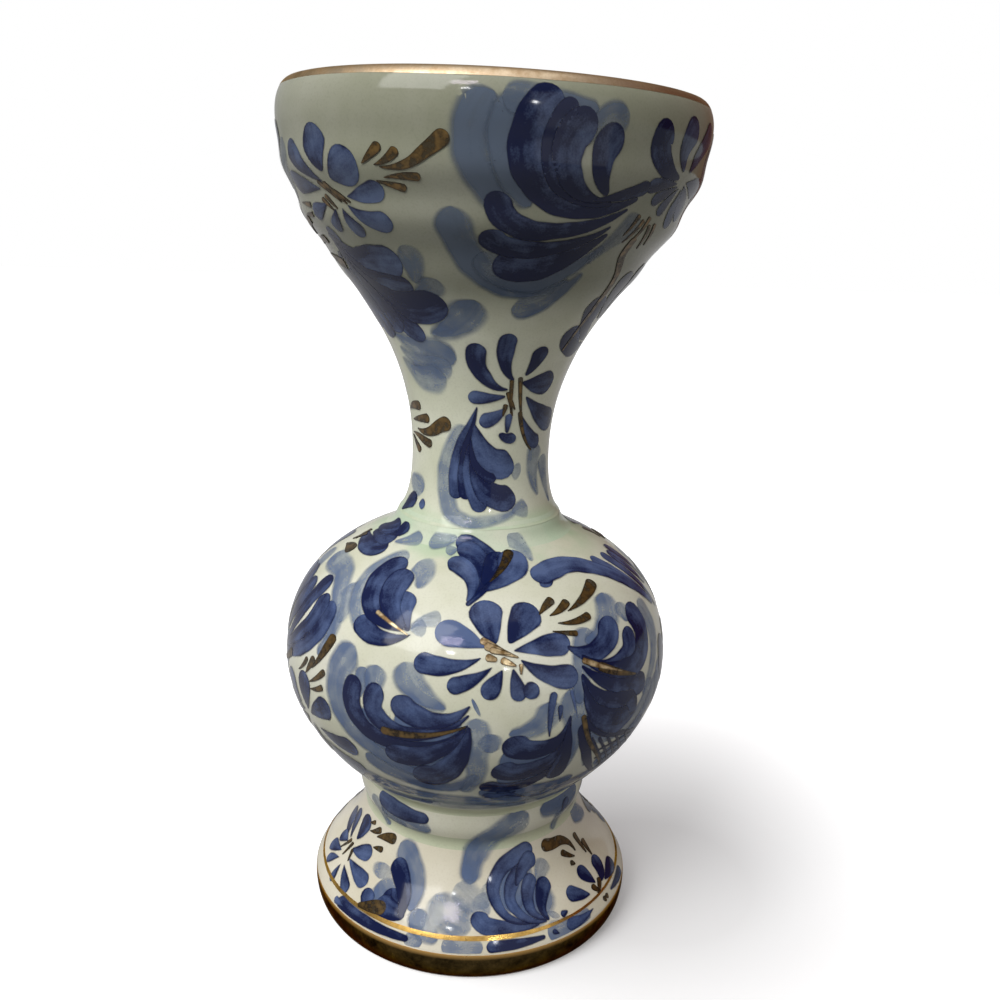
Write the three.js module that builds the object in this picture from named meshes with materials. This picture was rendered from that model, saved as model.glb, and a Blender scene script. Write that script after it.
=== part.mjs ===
// A ceramic vase with a trumpet mouth, a round body and a pedestal foot. Millimetres, +Z up.
// The origin is the centre of the foot ring's underside, on the surface that the vase stands on.
// Four thrown sections, the foot, the collar, the body and the neck with its mouth, are joined
// with slip and glazed, and the lip and the foot are gilt.

import * as THREE from "three";

// Heights of the thrown sections, from the floor up
const footHeight = 41.6;
const collarHeight = 13.4;
const bodyHeight = 98.6;
const neckHeight = 21.6;
const mouthHeight = 121.2;

// Slip in each joint, and the clearance between pieces that touch
const slipThickness = 0.6;
const seatGap = 0.3;

// Outer radii
const footRingRadius = 59.2;
const footBandRadius = 61.7;
const footTopRadius = 41.3;
const globeRadius = 71.1;
const shoulderRadius = 29.6;
const neckRadius = 24.7;
const mouthRadius = 72.4;

// How far the collar swells and opens out beyond the foot's top, and the body overhangs the collar
const collarSwell = 2.6;
const collarFlare = 2.1;
const bodyOverhang = 1;

// Walls and the body's floor
const footWall = 7;
const footRingWidth = 5;
const collarWall = 9;
const bodyWall = 5.5;
const bodyFloor = 7;
const floorFillet = 2;
const neckWall = 6;

// Levels within a section: the foot band's top, the globe's widest place and the lip's roll
const footBandHeight = 11.5;
const globeRise = 46;
const lipHeight = 9;

// Throwing ridges around the mouth
const ridgeCount = 3;
const ridgeSpacing = 16.6;
const ridgeHeight = 0.6;

// The mouth leans and dips towards +X, more and more from the neck's narrowest place up
const mouthLean = 2.3;
const mouthDip = THREE.MathUtils.degToRad(1.36);

// Gilding
const giltThickness = 0.4;
const bandGiltClearance = 1.2;
const lineGiltRise = 4.4;
const lineGiltWidth = 2;
const lipGiltDrop = 2.4;

const roundSegments = 40;

const glaze = new THREE.MeshStandardMaterial({ color: 0xcfd0b8, roughness: 0.12 });
const slip = new THREE.MeshStandardMaterial({ color: 0xa9bda2, roughness: 0.2 });
const gilt = new THREE.MeshStandardMaterial({ color: 0xb08a45, roughness: 0.25, metalness: 1 });

// Levels at which the sections start
const jointThickness = slipThickness + 2 * seatGap;
const collarBase = footHeight + jointThickness;
const bodyBase = collarBase + collarHeight + jointThickness;
const neckBase = bodyBase + bodyHeight + jointThickness;
const mouthBase = neckBase + neckHeight;
const rimLevel = mouthBase + mouthHeight;
const lipBase = rimLevel - lipHeight;

// Outlines have x as the radius and y as the height.
const at = (radius, height) => new THREE.Vector2(radius, height);

// A smooth curve between two points. Each end's handle is given as shares of the way across and up.
function sweep(start, end, startShares, endShares) {
  const span = end.clone().sub(start);
  const startHandle = span.clone().multiply(at(...startShares));
  const endHandle = span.clone().multiply(at(...endShares));
  return new THREE.CubicBezierCurve(start, startHandle.add(start), end.clone().sub(endHandle), end);
}

// Points along a curve, between two of its parameters.
function stretch(curve, steps, from = 0, to = 1) {
  return Array.from({ length: steps + 1 }, (_, i) => curve.getPoint(from + ((to - from) * i) / steps));
}

// The parameter at which a curve that rises reaches a height.
function parameterAt(curve, height) {
  let below = 0;
  let above = 1;
  for (let halving = 0; halving < 40; halving++) {
    const middle = (below + above) / 2;
    if (curve.getPoint(middle).y < height) {
      below = middle;
    } else {
      above = middle;
    }
  }
  return above;
}

// An outline that rises along the outside, moved into the wall by a depth.
function inset(points, depth) {
  return points.map((point, i) => {
    const before = points[Math.max(i - 1, 0)];
    const after = points[Math.min(i + 1, points.length - 1)];
    const along = after.clone().sub(before).normalize();
    return at(point.x - along.y * depth, point.y + along.x * depth);
  });
}

// An outline turned about the vertical axis. One that doesn't start on the axis closes on itself.
function turned(name, outline, material) {
  const closed = outline[0].x > 0 ? [...outline, outline[0].clone()] : outline;
  const geometry = new THREE.LatheGeometry(closed, roundSegments);
  geometry.rotateX(Math.PI / 2);
  const mesh = new THREE.Mesh(geometry, material);
  mesh.name = name;
  return mesh;
}

// A layer of gilding that is flush with a stretch of outline.
function gilding(name, points) {
  return turned(name, [...points, ...inset(points, giltThickness).reverse()], gilt);
}

// The seat cut into the clay under a layer of gilding.
function giltSeat(points) {
  return inset(points, giltThickness + seatGap);
}

// The flat ring of slip in a joint.
function slipRing(name, jointBase, boreRadius, outerRadius) {
  const bottom = jointBase + seatGap;
  const top = bottom + slipThickness;
  const outside = [at(outerRadius, bottom), at(outerRadius, top)];
  const inside = [at(boreRadius, top), at(boreRadius, bottom)];
  return turned(name, [...outside, ...inside], slip);
}

// A mesh bent with the mouth, which leans and dips towards +X above the neck's narrowest place.
function leant(mesh) {
  const position = mesh.geometry.attributes.position;
  for (let i = 0; i < position.count; i++) {
    const rise = Math.max(position.getZ(i) - mouthBase, 0) / mouthHeight;
    const dip = mouthDip * rise;
    const x = position.getX(i);
    position.setX(i, mouthLean * rise ** 1.5 + x * Math.cos(dip));
    position.setZ(i, position.getZ(i) - x * Math.sin(dip));
  }
  return mesh;
}

// Foot: a gilt bead on the floor, a dome that narrows to the collar, and a hollow underneath
const hollowRadius = footTopRadius - collarWall;
const bead = sweep(at(footRingRadius, 0), at(footBandRadius, footBandHeight), [1.08, 0.22], [-0.28, 0.26]);
const dome = sweep(bead.v3, at(footTopRadius, footHeight), [0.37, 0.45], [0.43, 0.69]);
const bandGiltBase = parameterAt(bead, bandGiltClearance);
const bandSeatBase = parameterAt(bead, bandGiltClearance - seatGap);
const bandGiltTop = parameterAt(bead, footBandHeight - seatGap);
const lineGiltLevel = footBandHeight + lineGiltRise;
const lineGiltBase = parameterAt(dome, lineGiltLevel - lineGiltWidth / 2);
const lineGiltTop = parameterAt(dome, lineGiltLevel + lineGiltWidth / 2);
const lineSeatBase = parameterAt(dome, lineGiltLevel - lineGiltWidth / 2 - seatGap);
const lineSeatTop = parameterAt(dome, lineGiltLevel + lineGiltWidth / 2 + seatGap);
const footCeiling = inset(stretch(dome, 8), footWall).filter((point) => point.x > hollowRadius);
const footOutline = [
  bead.v0,
  ...giltSeat(stretch(bead, 5, bandSeatBase, 1)),
  ...stretch(dome, 2, 0, lineSeatBase),
  ...giltSeat(stretch(dome, 1, lineSeatBase, lineSeatTop)),
  ...stretch(dome, 8, lineSeatTop, 1),
  at(hollowRadius, footHeight),
  ...footCeiling.reverse(),
  at(footRingRadius - footRingWidth, 0),
];

// Collar: a soft roll around the hollow that runs up from the foot
const collarTop = collarBase + collarHeight;
const collarTopRadius = footTopRadius + collarFlare;
const roll = new THREE.SplineCurve([
  at(footTopRadius, collarBase),
  at(footTopRadius + collarSwell, collarBase + 0.45 * collarHeight),
  at(collarTopRadius, collarTop),
]);
const collarOutline = [...stretch(roll, 8), at(hollowRadius, collarTop), at(hollowRadius, collarBase)];

// Body: a hollow globe with its own floor, open at the shoulder
const bodyTop = bodyBase + bodyHeight;
const equator = at(globeRadius, bodyBase + globeRise);
const bodyBaseRadius = collarTopRadius + bodyOverhang;
const underside = sweep(at(bodyBaseRadius, bodyBase), equator, [0.34, 0.165], [0, 0.45]);
const shoulder = sweep(equator, at(shoulderRadius, bodyTop), [0, 0.815], [0, 0.16]);
const bodyOutside = [...stretch(underside, 6), ...stretch(shoulder, 11).slice(1)];
const floorLevel = bodyBase + bodyFloor;
const bodyInside = inset(bodyOutside, bodyWall).filter((point) => point.y > floorLevel + floorFillet);
const bodyOutline = [
  at(0, bodyBase),
  ...bodyOutside,
  ...bodyInside.reverse(),
  at(bodyInside.at(-1).x - floorFillet, floorLevel),
  at(0, floorLevel),
];

// Neck and mouth: the neck flares into a trumpet with throwing ridges and a rolled lip
const boreRadius = neckRadius - neckWall;
const root = sweep(at(shoulderRadius, neckBase), at(neckRadius, mouthBase), [0.7, 0.16], [0, 0.46]);
const flare = sweep(root.v3, at(mouthRadius, lipBase), [0, 0.51], [0.03, 0.41]);
const ridgedHeight = (ridgeCount + 0.5) * ridgeSpacing;
const ridged = stretch(flare, 26).map((point) => {
  const depth = (lipBase - point.y) / ridgedHeight;
  const swell = depth < 1 ? Math.sin(Math.PI * depth) : 0;
  const wave = Math.cos((2 * Math.PI * (lipBase - point.y)) / ridgeSpacing);
  return at(point.x + ridgeHeight * swell * wave, point.y);
});
const lipRoll = 0.78 * neckWall;
const lipMiddle = mouthRadius - lipRoll;
const lipInner = neckWall - lipRoll;
const lipOutside = new THREE.EllipseCurve(lipMiddle, lipBase, lipRoll, lipHeight, 0, Math.PI / 2);
const lipInside = new THREE.EllipseCurve(lipMiddle, lipBase, lipInner, lipHeight, Math.PI / 2, Math.PI);
const lipGiltBase = parameterAt(lipOutside, rimLevel - lipGiltDrop);
const lipSeatBase = parameterAt(lipOutside, rimLevel - lipGiltDrop - seatGap);
const overLip = (from) => [...stretch(lipOutside, 3, from), ...stretch(lipInside, 3, 0, 1 - from).slice(1)];
const neckOutline = [
  ...stretch(root, 5),
  ...ridged.slice(1),
  ...stretch(lipOutside, 2, 0, lipSeatBase).slice(1),
  ...giltSeat(overLip(lipSeatBase)),
  ...stretch(lipInside, 1, 1 - lipSeatBase, 1),
  ...inset(stretch(flare, 10), neckWall).reverse().slice(1),
  at(boreRadius, neckBase),
];

const vase = new THREE.Group();
vase.add(
  turned("foot", footOutline, glaze),
  gilding("foot_band_gilding", stretch(bead, 5, bandGiltBase, bandGiltTop)),
  gilding("foot_line_gilding", stretch(dome, 2, lineGiltBase, lineGiltTop)),
  slipRing("foot_slip_joint", footHeight, hollowRadius, footTopRadius),
  turned("collar", collarOutline, glaze),
  slipRing("collar_slip_joint", collarTop, hollowRadius, collarTopRadius),
  turned("body", bodyOutline, glaze),
  slipRing("shoulder_slip_joint", bodyTop, shoulderRadius - bodyWall, shoulderRadius),
  leant(turned("neck_and_mouth", neckOutline, glaze)),
  leant(gilding("lip_gilding", overLip(lipGiltBase))),
);

export default vase;
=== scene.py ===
import math

import bpy
import numpy as np
from mathutils import Matrix, Vector


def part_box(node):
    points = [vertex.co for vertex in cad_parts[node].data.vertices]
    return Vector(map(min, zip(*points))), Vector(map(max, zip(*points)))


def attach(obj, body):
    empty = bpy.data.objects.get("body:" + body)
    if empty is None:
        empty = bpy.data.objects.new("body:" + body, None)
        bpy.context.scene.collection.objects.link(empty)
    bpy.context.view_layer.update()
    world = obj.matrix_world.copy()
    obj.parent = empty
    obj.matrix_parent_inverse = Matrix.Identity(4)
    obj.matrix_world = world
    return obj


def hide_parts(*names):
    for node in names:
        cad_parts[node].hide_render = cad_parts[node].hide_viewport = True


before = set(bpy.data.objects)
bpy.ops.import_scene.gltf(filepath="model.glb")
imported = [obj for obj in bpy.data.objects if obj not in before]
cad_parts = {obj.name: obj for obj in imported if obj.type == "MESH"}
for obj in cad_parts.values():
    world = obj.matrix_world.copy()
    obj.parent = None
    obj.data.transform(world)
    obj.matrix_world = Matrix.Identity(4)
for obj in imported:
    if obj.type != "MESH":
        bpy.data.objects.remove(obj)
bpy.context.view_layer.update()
scene = bpy.context.scene
scene.view_settings.view_transform = "Standard"

# Camera
# The photograph was taken close by, a little above the middle of the vase and looking down,
# with the camera rolled by a degree or two.
mm = 0.001
camera_place = Matrix.Translation((0, -366.1 * mm, 260.9 * mm))
camera_pitch = Matrix.Rotation(math.radians(90 - 15.42), 4, "X")
camera_yaw = Matrix.Rotation(math.radians(-1.20), 4, "Z")
camera_roll = Matrix.Rotation(math.radians(1.75), 4, "Z")
lens = bpy.data.cameras.new("camera")
lens.sensor_width = 36
lens.lens = 36.94
lens.clip_start = 0.01
camera = bpy.data.objects.new("camera", lens)
camera.matrix_world = camera_place @ camera_yaw @ camera_pitch @ camera_roll
scene.collection.objects.link(camera)
scene.camera = camera

# Foot
# The hollow pedestal that the vase stands on, thrown in red-buff earthenware with a rounded bead
# at the floor. It is glazed all over except for the ring underneath, where it stood in the kiln.
foot_ring_radius = 59.2
foot_band_radius = 61.7
foot_band_height = 11.5
foot_top_radius = 41.3
foot_wall = 7
foot_ring_width = 5
foot_ring_chamfer = (0.8, 1.0)
collar_wall = 9
foot_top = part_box("foot")[1].z / mm
outline_gap = 0.8
spin_steps = 256
oval_size = 0.13
three_sided_size = 0.07
wiped_height = 0.5


def sweep(start, end, start_shares, end_shares, gap=outline_gap):
    """A smooth curve between two points, with points about a gap apart. Each end's handle is
    given as shares of the way across and up."""
    start = np.array(start, float)
    end = np.array(end, float)
    first = start + (end - start) * start_shares
    last = end - (end - start) * end_shares
    t = np.linspace(0, 1, 400)[:, None]
    fine = (1 - t) ** 3 * start + 3 * (1 - t) ** 2 * t * first + 3 * (1 - t) * t**2 * last + t**3 * end
    return spaced(fine, gap)


def spaced(curve, gap):
    """The same curve with points that are evenly spaced."""
    along = distance_along(curve)
    stops = np.linspace(0, along[-1], max(2, round(along[-1] / gap) + 1))
    return at_distances(curve, stops)


def distance_along(curve):
    return np.r_[0, np.cumsum(np.hypot(*np.diff(curve, axis=0).T))]


def at_distances(curve, stops):
    along = distance_along(curve)
    return np.stack([np.interp(stops, along, curve[:, 0]), np.interp(stops, along, curve[:, 1])], -1)


def inset(outline, depth):
    """An outline that rises along the outside, moved into the wall by a depth."""
    along = np.gradient(outline, axis=0)
    along /= np.hypot(*along.T)[:, None]
    return outline + np.stack([-along[:, 1], along[:, 0]], 1) * depth


def thrown(points):
    """Points in millimetres, moved as hands move clay on a wheel: a little oval and a little
    three-sided, in turns that twist slowly with the height."""
    angle = np.arctan2(points[:, 0], -points[:, 1])
    height = points[:, 2]
    oval = oval_size * np.sin(2 * angle + 0.021 * height + 0.6)
    three_sided = three_sided_size * np.sin(3 * angle - 0.034 * height + 2.1)
    radius = np.hypot(points[:, 0], points[:, 1])
    share = 1 + (oval + three_sided) / np.maximum(radius, 12)
    return points * np.stack([share, share, np.ones_like(share)], 1)


def placed(piece, points):
    """Moves the corners of a piece to these places, in millimetres."""
    piece.data.vertices.foreach_set("co", (points * mm).ravel())


def spun(name, outline, lean=None):
    """An outline that is closed, or ends on the axis, turned once round like clay on the wheel."""
    bpy.ops.object.select_all(action="DESELECT")
    bpy.ops.mesh.primitive_circle_add(vertices=len(outline))
    piece = bpy.context.object
    piece.name = name
    placed(piece, np.insert(outline, 1, 0, axis=1))
    bpy.ops.object.mode_set(mode="EDIT")
    bpy.ops.mesh.select_all(action="SELECT")
    bpy.ops.mesh.spin(steps=spin_steps, angle=2 * math.pi, center=(0, 0, 0), axis=(0, 0, 1))
    bpy.ops.mesh.select_all(action="SELECT")
    bpy.ops.mesh.remove_doubles(threshold=1e-6)
    bpy.ops.mesh.delete_loose(use_verts=True, use_edges=True, use_faces=False)
    bpy.ops.mesh.select_all(action="SELECT")
    bpy.ops.mesh.normals_make_consistent(inside=False)
    bpy.ops.object.mode_set(mode="OBJECT")
    points = np.empty(len(piece.data.vertices) * 3)
    piece.data.vertices.foreach_get("co", points)
    points = thrown(points.reshape(-1, 3) / mm)
    placed(piece, lean(points) if lean else points)
    piece.data.update()
    bpy.ops.object.shade_smooth_by_angle(angle=math.radians(50))
    return piece


def linear(text):
    """A hex colour as the shader takes it."""
    parts = [int(text[i : i + 2], 16) / 255 for i in (1, 3, 5)]
    return [c / 12.92 if c <= 0.04045 else ((c + 0.055) / 1.055) ** 2.4 for c in parts] + [1]


def joined(tree, node, inputs):
    """The node with each input given a value, or linked to a socket or to another node's result."""
    for socket, value in inputs.items():
        if isinstance(value, bpy.types.Node):
            value = next(output for output in value.outputs if output.enabled)
        if isinstance(value, bpy.types.NodeSocket):
            tree.links.new(value, node.inputs[socket])
        else:
            node.inputs[socket].default_value = value
    return node


def add(tree, kind, inputs, **settings):
    """A new node with its settings and its inputs."""
    node = tree.nodes.new("ShaderNode" + kind)
    for name, value in settings.items():
        setattr(node, name, value)
    return joined(tree, node, inputs)


def finish_of(name):
    """A new material, with its node tree, its shader and its place on the object."""
    material = bpy.data.materials.new(name)
    material.use_nodes = True
    tree = material.node_tree
    place = add(tree, "TexCoord", {}).outputs["Object"]
    return material, tree, tree.nodes["Principled BSDF"], place


def dimples(tree, place):
    """The slow waves of a brushed-on glaze, some 9 mm apart, with 1.5 mm orange peel on them."""
    waves = add(tree, "TexNoise", {"Vector": place, "Scale": 1000 / 9, "Detail": 1.0})
    peel = add(tree, "TexNoise", {"Vector": place, "Scale": 1000 / 1.5, "Detail": 1.0})
    low = add(tree, "Bump", {"Height": waves, "Distance": 0.05 * mm, "Strength": 1.0})
    return add(tree, "Bump", {"Height": peel, "Distance": 0.003 * mm, "Strength": 1.0, "Normal": low})


def risen(tree, place, low, high, **settings):
    """How far a place has come from one height up to another, as a share."""
    height = add(tree, "SeparateXYZ", {"Vector": place}).outputs["Z"]
    heights = {"Value": height, "From Min": low * mm, "From Max": high * mm}
    return add(tree, "MapRange", heights, **settings)


def painted_shade_above(tree, place, colour, low, high, tint):
    """A colour painted greyer and darker from one height up to another and above: painted shade."""
    over = risen(tree, place, low, high, interpolation_type="SMOOTHSTEP")
    grey = add(tree, "Mix", {0: over, 6: (1, 1, 1, 1), 7: linear(tint)}, data_type="RGBA")
    return add(tree, "Mix", {0: 1.0, 6: colour, 7: grey}, data_type="RGBA", blend_type="MULTIPLY")


fired_gloss = {"Roughness": 0.09, "IOR": 1.38, "Specular IOR Level": 0.3}
clay_roughness = 0.85


def glaze(name, pale, deep, speck, pool=None, mouth_shade=None, bare=None):
    """Tin glaze over earthenware, glossy and a little uneven. A pale and a deep tone cloud into
    each other over 26 mm. Specks show where the clay comes through, drawn 0.7 mm wide, about twice
    their real size, so that they can be seen. A pool of thicker glaze, with its height, width, tint
    and strength, and a painted shade from given heights up are there if given. Below a bare height
    the clay shows, matt and buff, where the glaze was wiped off."""
    material, tree, shader, place = finish_of(name)
    cloud = add(tree, "TexNoise", {"Vector": place, "Scale": 1000 / 26, "Detail": 3.0})
    tone = add(tree, "MapRange", {"Value": cloud, "From Min": 0.35, "From Max": 0.65})
    mixed = add(tree, "Mix", {0: tone, 6: linear(pale), 7: linear(deep)}, data_type="RGBA")
    grain = add(tree, "TexNoise", {"Vector": place, "Scale": 1000 / 0.7, "Detail": 2.0})
    dust = add(tree, "MapRange", {"Value": grain, "From Min": 0.5, "From Max": 0.8, "To Max": 0.22})
    colour = add(tree, "Mix", {0: dust, 6: mixed, 7: linear(speck)}, data_type="RGBA")
    if pool:
        level, width, tint, most = pool
        height = add(tree, "SeparateXYZ", {"Vector": place}).outputs["Z"]
        away = add(tree, "Math", {0: height, 1: level * mm}, operation="SUBTRACT")
        far = add(tree, "Math", {0: away}, operation="ABSOLUTE")
        near = add(tree, "MapRange", {"Value": far, "From Max": width * mm, "To Min": most,
                                      "To Max": 0.0}, interpolation_type="SMOOTHSTEP")
        drift = add(tree, "TexNoise", {"Vector": place, "Scale": 1000 / 14, "Detail": 2.0})
        broken = add(tree, "MapRange", {"Value": drift, "From Min": 0.38, "From Max": 0.62})
        share = add(tree, "Math", {0: near, 1: broken}, operation="MULTIPLY")
        colour = add(tree, "Mix", {0: share, 6: colour, 7: linear(tint)}, data_type="RGBA")
    # Painted shade: from the given heights up the colour turns greyer and darker.
    if mouth_shade:
        colour = painted_shade_above(tree, place, colour, *mouth_shade)
    joined(tree, shader, fired_gloss)
    if bare:
        glazed = risen(tree, place, bare - 0.2, bare)
        colour = add(tree, "Mix", {0: glazed, 6: linear("#B98E68"), 7: colour}, data_type="RGBA")
        dull = add(tree, "MapRange", {"Value": glazed, "To Min": clay_roughness,
                                      "To Max": fired_gloss["Roughness"]})
        joined(tree, shader, {"Roughness": dull})
    joined(tree, shader, {"Base Color": colour, "Normal": dimples(tree, place)})
    return material


def dressed(piece, material, slot, *nodes):
    """The piece in its finish, and in the place of the nodes that it stands for."""
    piece.data.materials.append(material)
    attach(piece, "root")
    for node in nodes:
        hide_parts(node)


bead = sweep((foot_ring_radius, 0), (foot_band_radius, foot_band_height), (1.08, 0.22), (-0.28, 0.26))
dome = sweep(bead[-1], (foot_top_radius, foot_top), (0.37, 0.45), (0.43, 0.69))
hollow_radius = foot_top_radius - collar_wall
ceiling = spaced(inset(dome, foot_wall), 2)
ceiling = ceiling[ceiling[:, 0] > hollow_radius][::-1]
ring_inside = foot_ring_radius - foot_ring_width
foot_outline = np.vstack([
    bead,
    dome[1:],
    [(hollow_radius, foot_top)],
    ceiling,
    [(ring_inside, foot_ring_chamfer[1]), (ring_inside + foot_ring_chamfer[0], 0)],
])
foot = spun("foot_thrown", foot_outline)
foot_glaze = glaze("foot_glaze", "#DED8C6", "#D4CDB7", "#B7AA90", bare=wiped_height)
dressed(foot, foot_glaze, "glazed_earthenware", "foot")


# Gold on the foot
# Two bands of gold lustre, brushed over the fired glaze while the foot turned and fired again:
# a wide one round the bead, coloured dark bronze as a painted reflection of dark surroundings, with
# a painted highlight along its top edge, and a thin line on the dome.
gilt_rise = 4.4
gilt_line = 1.3
gilt_clearance = (1.4, 0.5)
skin_gap = 0.2
band_steps = 360
film_root = 0.1
edge_margin = 0.4
edge_least = 0.05


def skin(outline, lean=None):
    """The outside of a thrown section, as brushes follow it."""
    fine = spaced(outline, skin_gap)
    return {"outline": fine, "side": fine - inset(fine, 1), "along": distance_along(fine), "lean": lean}


def eased(distance):
    """Distances from an edge, where those that pass it are squeezed into the last bit before it."""
    past = np.maximum(edge_margin - distance, 0)
    room = edge_margin - edge_least
    return np.where(past > 0, edge_least + room / (1 + past / room), distance)


def on_skin(section, angle, up, lift):
    """Points that stand a lift above the section, at angles in degrees, 0 towards the viewer and
    growing to the right, and at distances up its outline, in millimetres."""
    along = section["along"]
    up = along[-1] - eased(along[-1] - eased(up))
    flat = section["outline"] + lift * section["side"]
    radius = np.interp(up, along, flat[:, 0])
    height = np.interp(up, along, flat[:, 1])
    turn = np.radians(angle)
    points = np.stack([radius * np.sin(turn), -radius * np.cos(turn), height], -1).reshape(-1, 3)
    points = thrown(points)
    return section["lean"](points) if section["lean"] else points


def sheet(name, columns, rows):
    """A flat grid that is still to be laid on the vase."""
    bpy.ops.object.select_all(action="DESELECT")
    bpy.ops.mesh.primitive_grid_add(x_subdivisions=columns, y_subdivisions=rows)
    piece = bpy.context.object
    piece.name = name
    return piece


def closed(piece, lift):
    """A sheet made into a film, with sides and with a back that is rooted in the clay."""
    film = piece.modifiers.new("film", "SOLIDIFY")
    film.thickness = (lift + film_root) * mm
    film.offset = -1
    bpy.context.view_layer.objects.active = piece
    bpy.ops.object.modifier_apply(modifier=film.name)
    bpy.ops.object.shade_smooth_by_angle(angle=math.radians(30))
    return piece


def banded(name, section, low, high, waver, lift, seed):
    """A film of lustre all the way round, with edges that waver as a brush's do."""
    rows = max(4, round((high - low) / outline_gap))
    piece = sheet(name, band_steps, rows)
    angle = np.linspace(0, 360, band_steps + 1)[None, :]
    dice = np.random.default_rng(seed)
    edges = []
    for edge in (low, high):
        for turns in (2, 3, 5, 9, 14):
            phase = dice.uniform(0, 360)
            edge = edge + np.sin(np.radians(turns * angle + phase)) * waver / turns**0.7
        edges.append(edge)
    share = np.linspace(0, 1, rows + 1)[:, None]
    up = edges[0] * (1 - share) + edges[1] * share
    placed(piece, on_skin(section, np.broadcast_to(angle, up.shape), up, lift))
    bpy.ops.object.mode_set(mode="EDIT")
    bpy.ops.mesh.select_all(action="SELECT")
    bpy.ops.mesh.remove_doubles(threshold=1e-6)
    bpy.ops.object.mode_set(mode="OBJECT")
    return closed(piece, lift)


def lustre(name, gold, worn, rough, bright=None):
    """Gold lustre, a metal film some microns thick: thin and brown where it is worn, in patches of
    5 mm, with gloss that follows the glaze under it. A painted highlight can brighten it from one
    height to another."""
    material, tree, shader, place = finish_of(name)
    rub = add(tree, "TexNoise", {"Vector": place, "Scale": 1000 / 5, "Detail": 4.0, "Roughness": 0.7})
    share = add(tree, "MapRange", {"Value": rub, "From Min": 0.34, "From Max": 0.7})
    colour = add(tree, "Mix", {0: share, 6: linear(gold), 7: linear(worn)}, data_type="RGBA")
    # Painted highlight: between the two heights the colour turns bright, where the bead's top edge meets
    # the light.
    if bright:
        low, high, highlight_colour = bright
        over = risen(tree, place, low, high)
        colour = add(tree, "Mix", {0: over, 6: colour, 7: linear(highlight_colour)}, data_type="RGBA")
    dull = add(tree, "MapRange", {"Value": rub, "From Min": 0.35, "From Max": 0.65,
                                  "To Min": rough, "To Max": rough + 0.2})
    joined(tree, shader, {"Base Color": colour, "Roughness": dull, "Normal": dimples(tree, place),
                          "Metallic": 1, "Specular Tint": linear("#B09468")})
    return material


bead_skin = skin(bead)
foot_skin = skin(dome)
band_span = (gilt_clearance[0], bead_skin["along"][-1] - gilt_clearance[1])
band_gilt = banded("foot_band_lustre", bead_skin, *band_span, waver=0.12, lift=0.08, seed=3)
# Painted reflection and highlight: the band's dark bronze stands in for the dark surroundings it mirrors,
# and it turns bright from 9.2 to 11 mm.
bronze = lustre("dark_reflection_bronze_lustre", "#5A4A2C", "#17130C", 0.26, (9.2, 11.0, "#D9AC68"))
dressed(band_gilt, bronze, "gold_lustre", "foot_band_gilding")
line = np.interp(foot_band_height + gilt_rise, foot_skin["outline"][:, 1], foot_skin["along"])
line_span = (line - gilt_line / 2, line + gilt_line / 2)
line_gilt = banded("foot_line_lustre", foot_skin, *line_span, waver=0.2, lift=0.2, seed=5)
gold = lustre("gold_lustre_line", "#E0B868", "#8A6A34", 0.2)
dressed(line_gilt, gold, "gold_lustre", "foot_line_gilding")

# Slip joint between the foot and the collar
# Liquid clay that glued the leather-hard sections together. It was smoothed into the corner with
# a wet finger, and the glaze has pooled over it.
collar_low, collar_high = [corner.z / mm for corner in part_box("collar")]
collar_swell = 2.6
collar_flare = 2.1
smoothed_out = 0.8
slip_swell = 0.06
slip_root = 1.5
slip_step = 0.3
slip_back = (1.6, 2.2)
ring_rows = 24


def through(knots, share):
    """A smooth curve through its knots, at shares of the way along it."""
    knots = np.array(knots, float)
    steps = np.hypot(*np.diff(knots, axis=0).T)
    stops = np.r_[0, np.cumsum(steps)] / steps.sum()
    slopes = np.gradient(knots, stops, axis=0, edge_order=min(2, len(knots) - 1))
    i = np.clip(np.searchsorted(stops, share) - 1, 0, len(knots) - 2)
    width = (stops[i + 1] - stops[i])[:, None]
    t = (share - stops[i])[:, None] / width
    start = (1 + 2 * t) * (1 - t) ** 2 * knots[i] + t * (1 - t) ** 2 * width * slopes[i]
    end = t**2 * (3 - 2 * t) * knots[i + 1] + t**2 * (t - 1) * width * slopes[i + 1]
    return start + end


def creased(name, lower, upper, down, rise, bore, middle=()):
    """A ring that fills the corner between two outlines: it starts that far down on the lower one,
    runs through the points in the middle, if any, and ends that far up on the upper one. Its back
    is inside the clay."""
    length = distance_along(lower)[-1]
    below = at_distances(lower, [length - down - smoothed_out, length - down])
    above = at_distances(upper, [rise, rise + smoothed_out])
    share = np.linspace(0, 1, ring_rows)
    curve = through([*below, *middle, *above], share)
    curve = curve + (curve - inset(curve, 1)) * (slip_swell * np.sin(math.pi * share) ** 0.5)[:, None]
    start, end = curve[0], curve[-1]
    bottom, top = lower[-1][1], upper[0][1]
    deep, step = lower[-1][0] - slip_root, start[1] - slip_step
    back = [(end[0] - slip_back[0], end[1]), (end[0] - slip_back[1], top), (bore, top),
            (bore, bottom), (deep, bottom), (deep, step), (start[0] - 1, step)]
    return spun(name, np.vstack([curve, back])), curve


collar_middle = collar_low + 0.45 * (collar_high - collar_low)
roll_knots = [(foot_top_radius, collar_low), (foot_top_radius + collar_swell, collar_middle),
              (foot_top_radius + collar_flare, collar_high)]
roll = spaced(through(roll_knots, np.linspace(0, 1, 200)), outline_gap)
lower_joint, lower_curve = creased("lower_slip", dome, roll, 1.2, 1.6, hollow_radius)
# The pooled glaze is green from its thickness, and also painted paler: painted light in the shade under the
# body.
pooled = glaze("pooled_glaze", "#CFD1B3", "#BEC5A8", "#99A385")
dressed(lower_joint, pooled, "glazed_slip", "foot_slip_joint")

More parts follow.
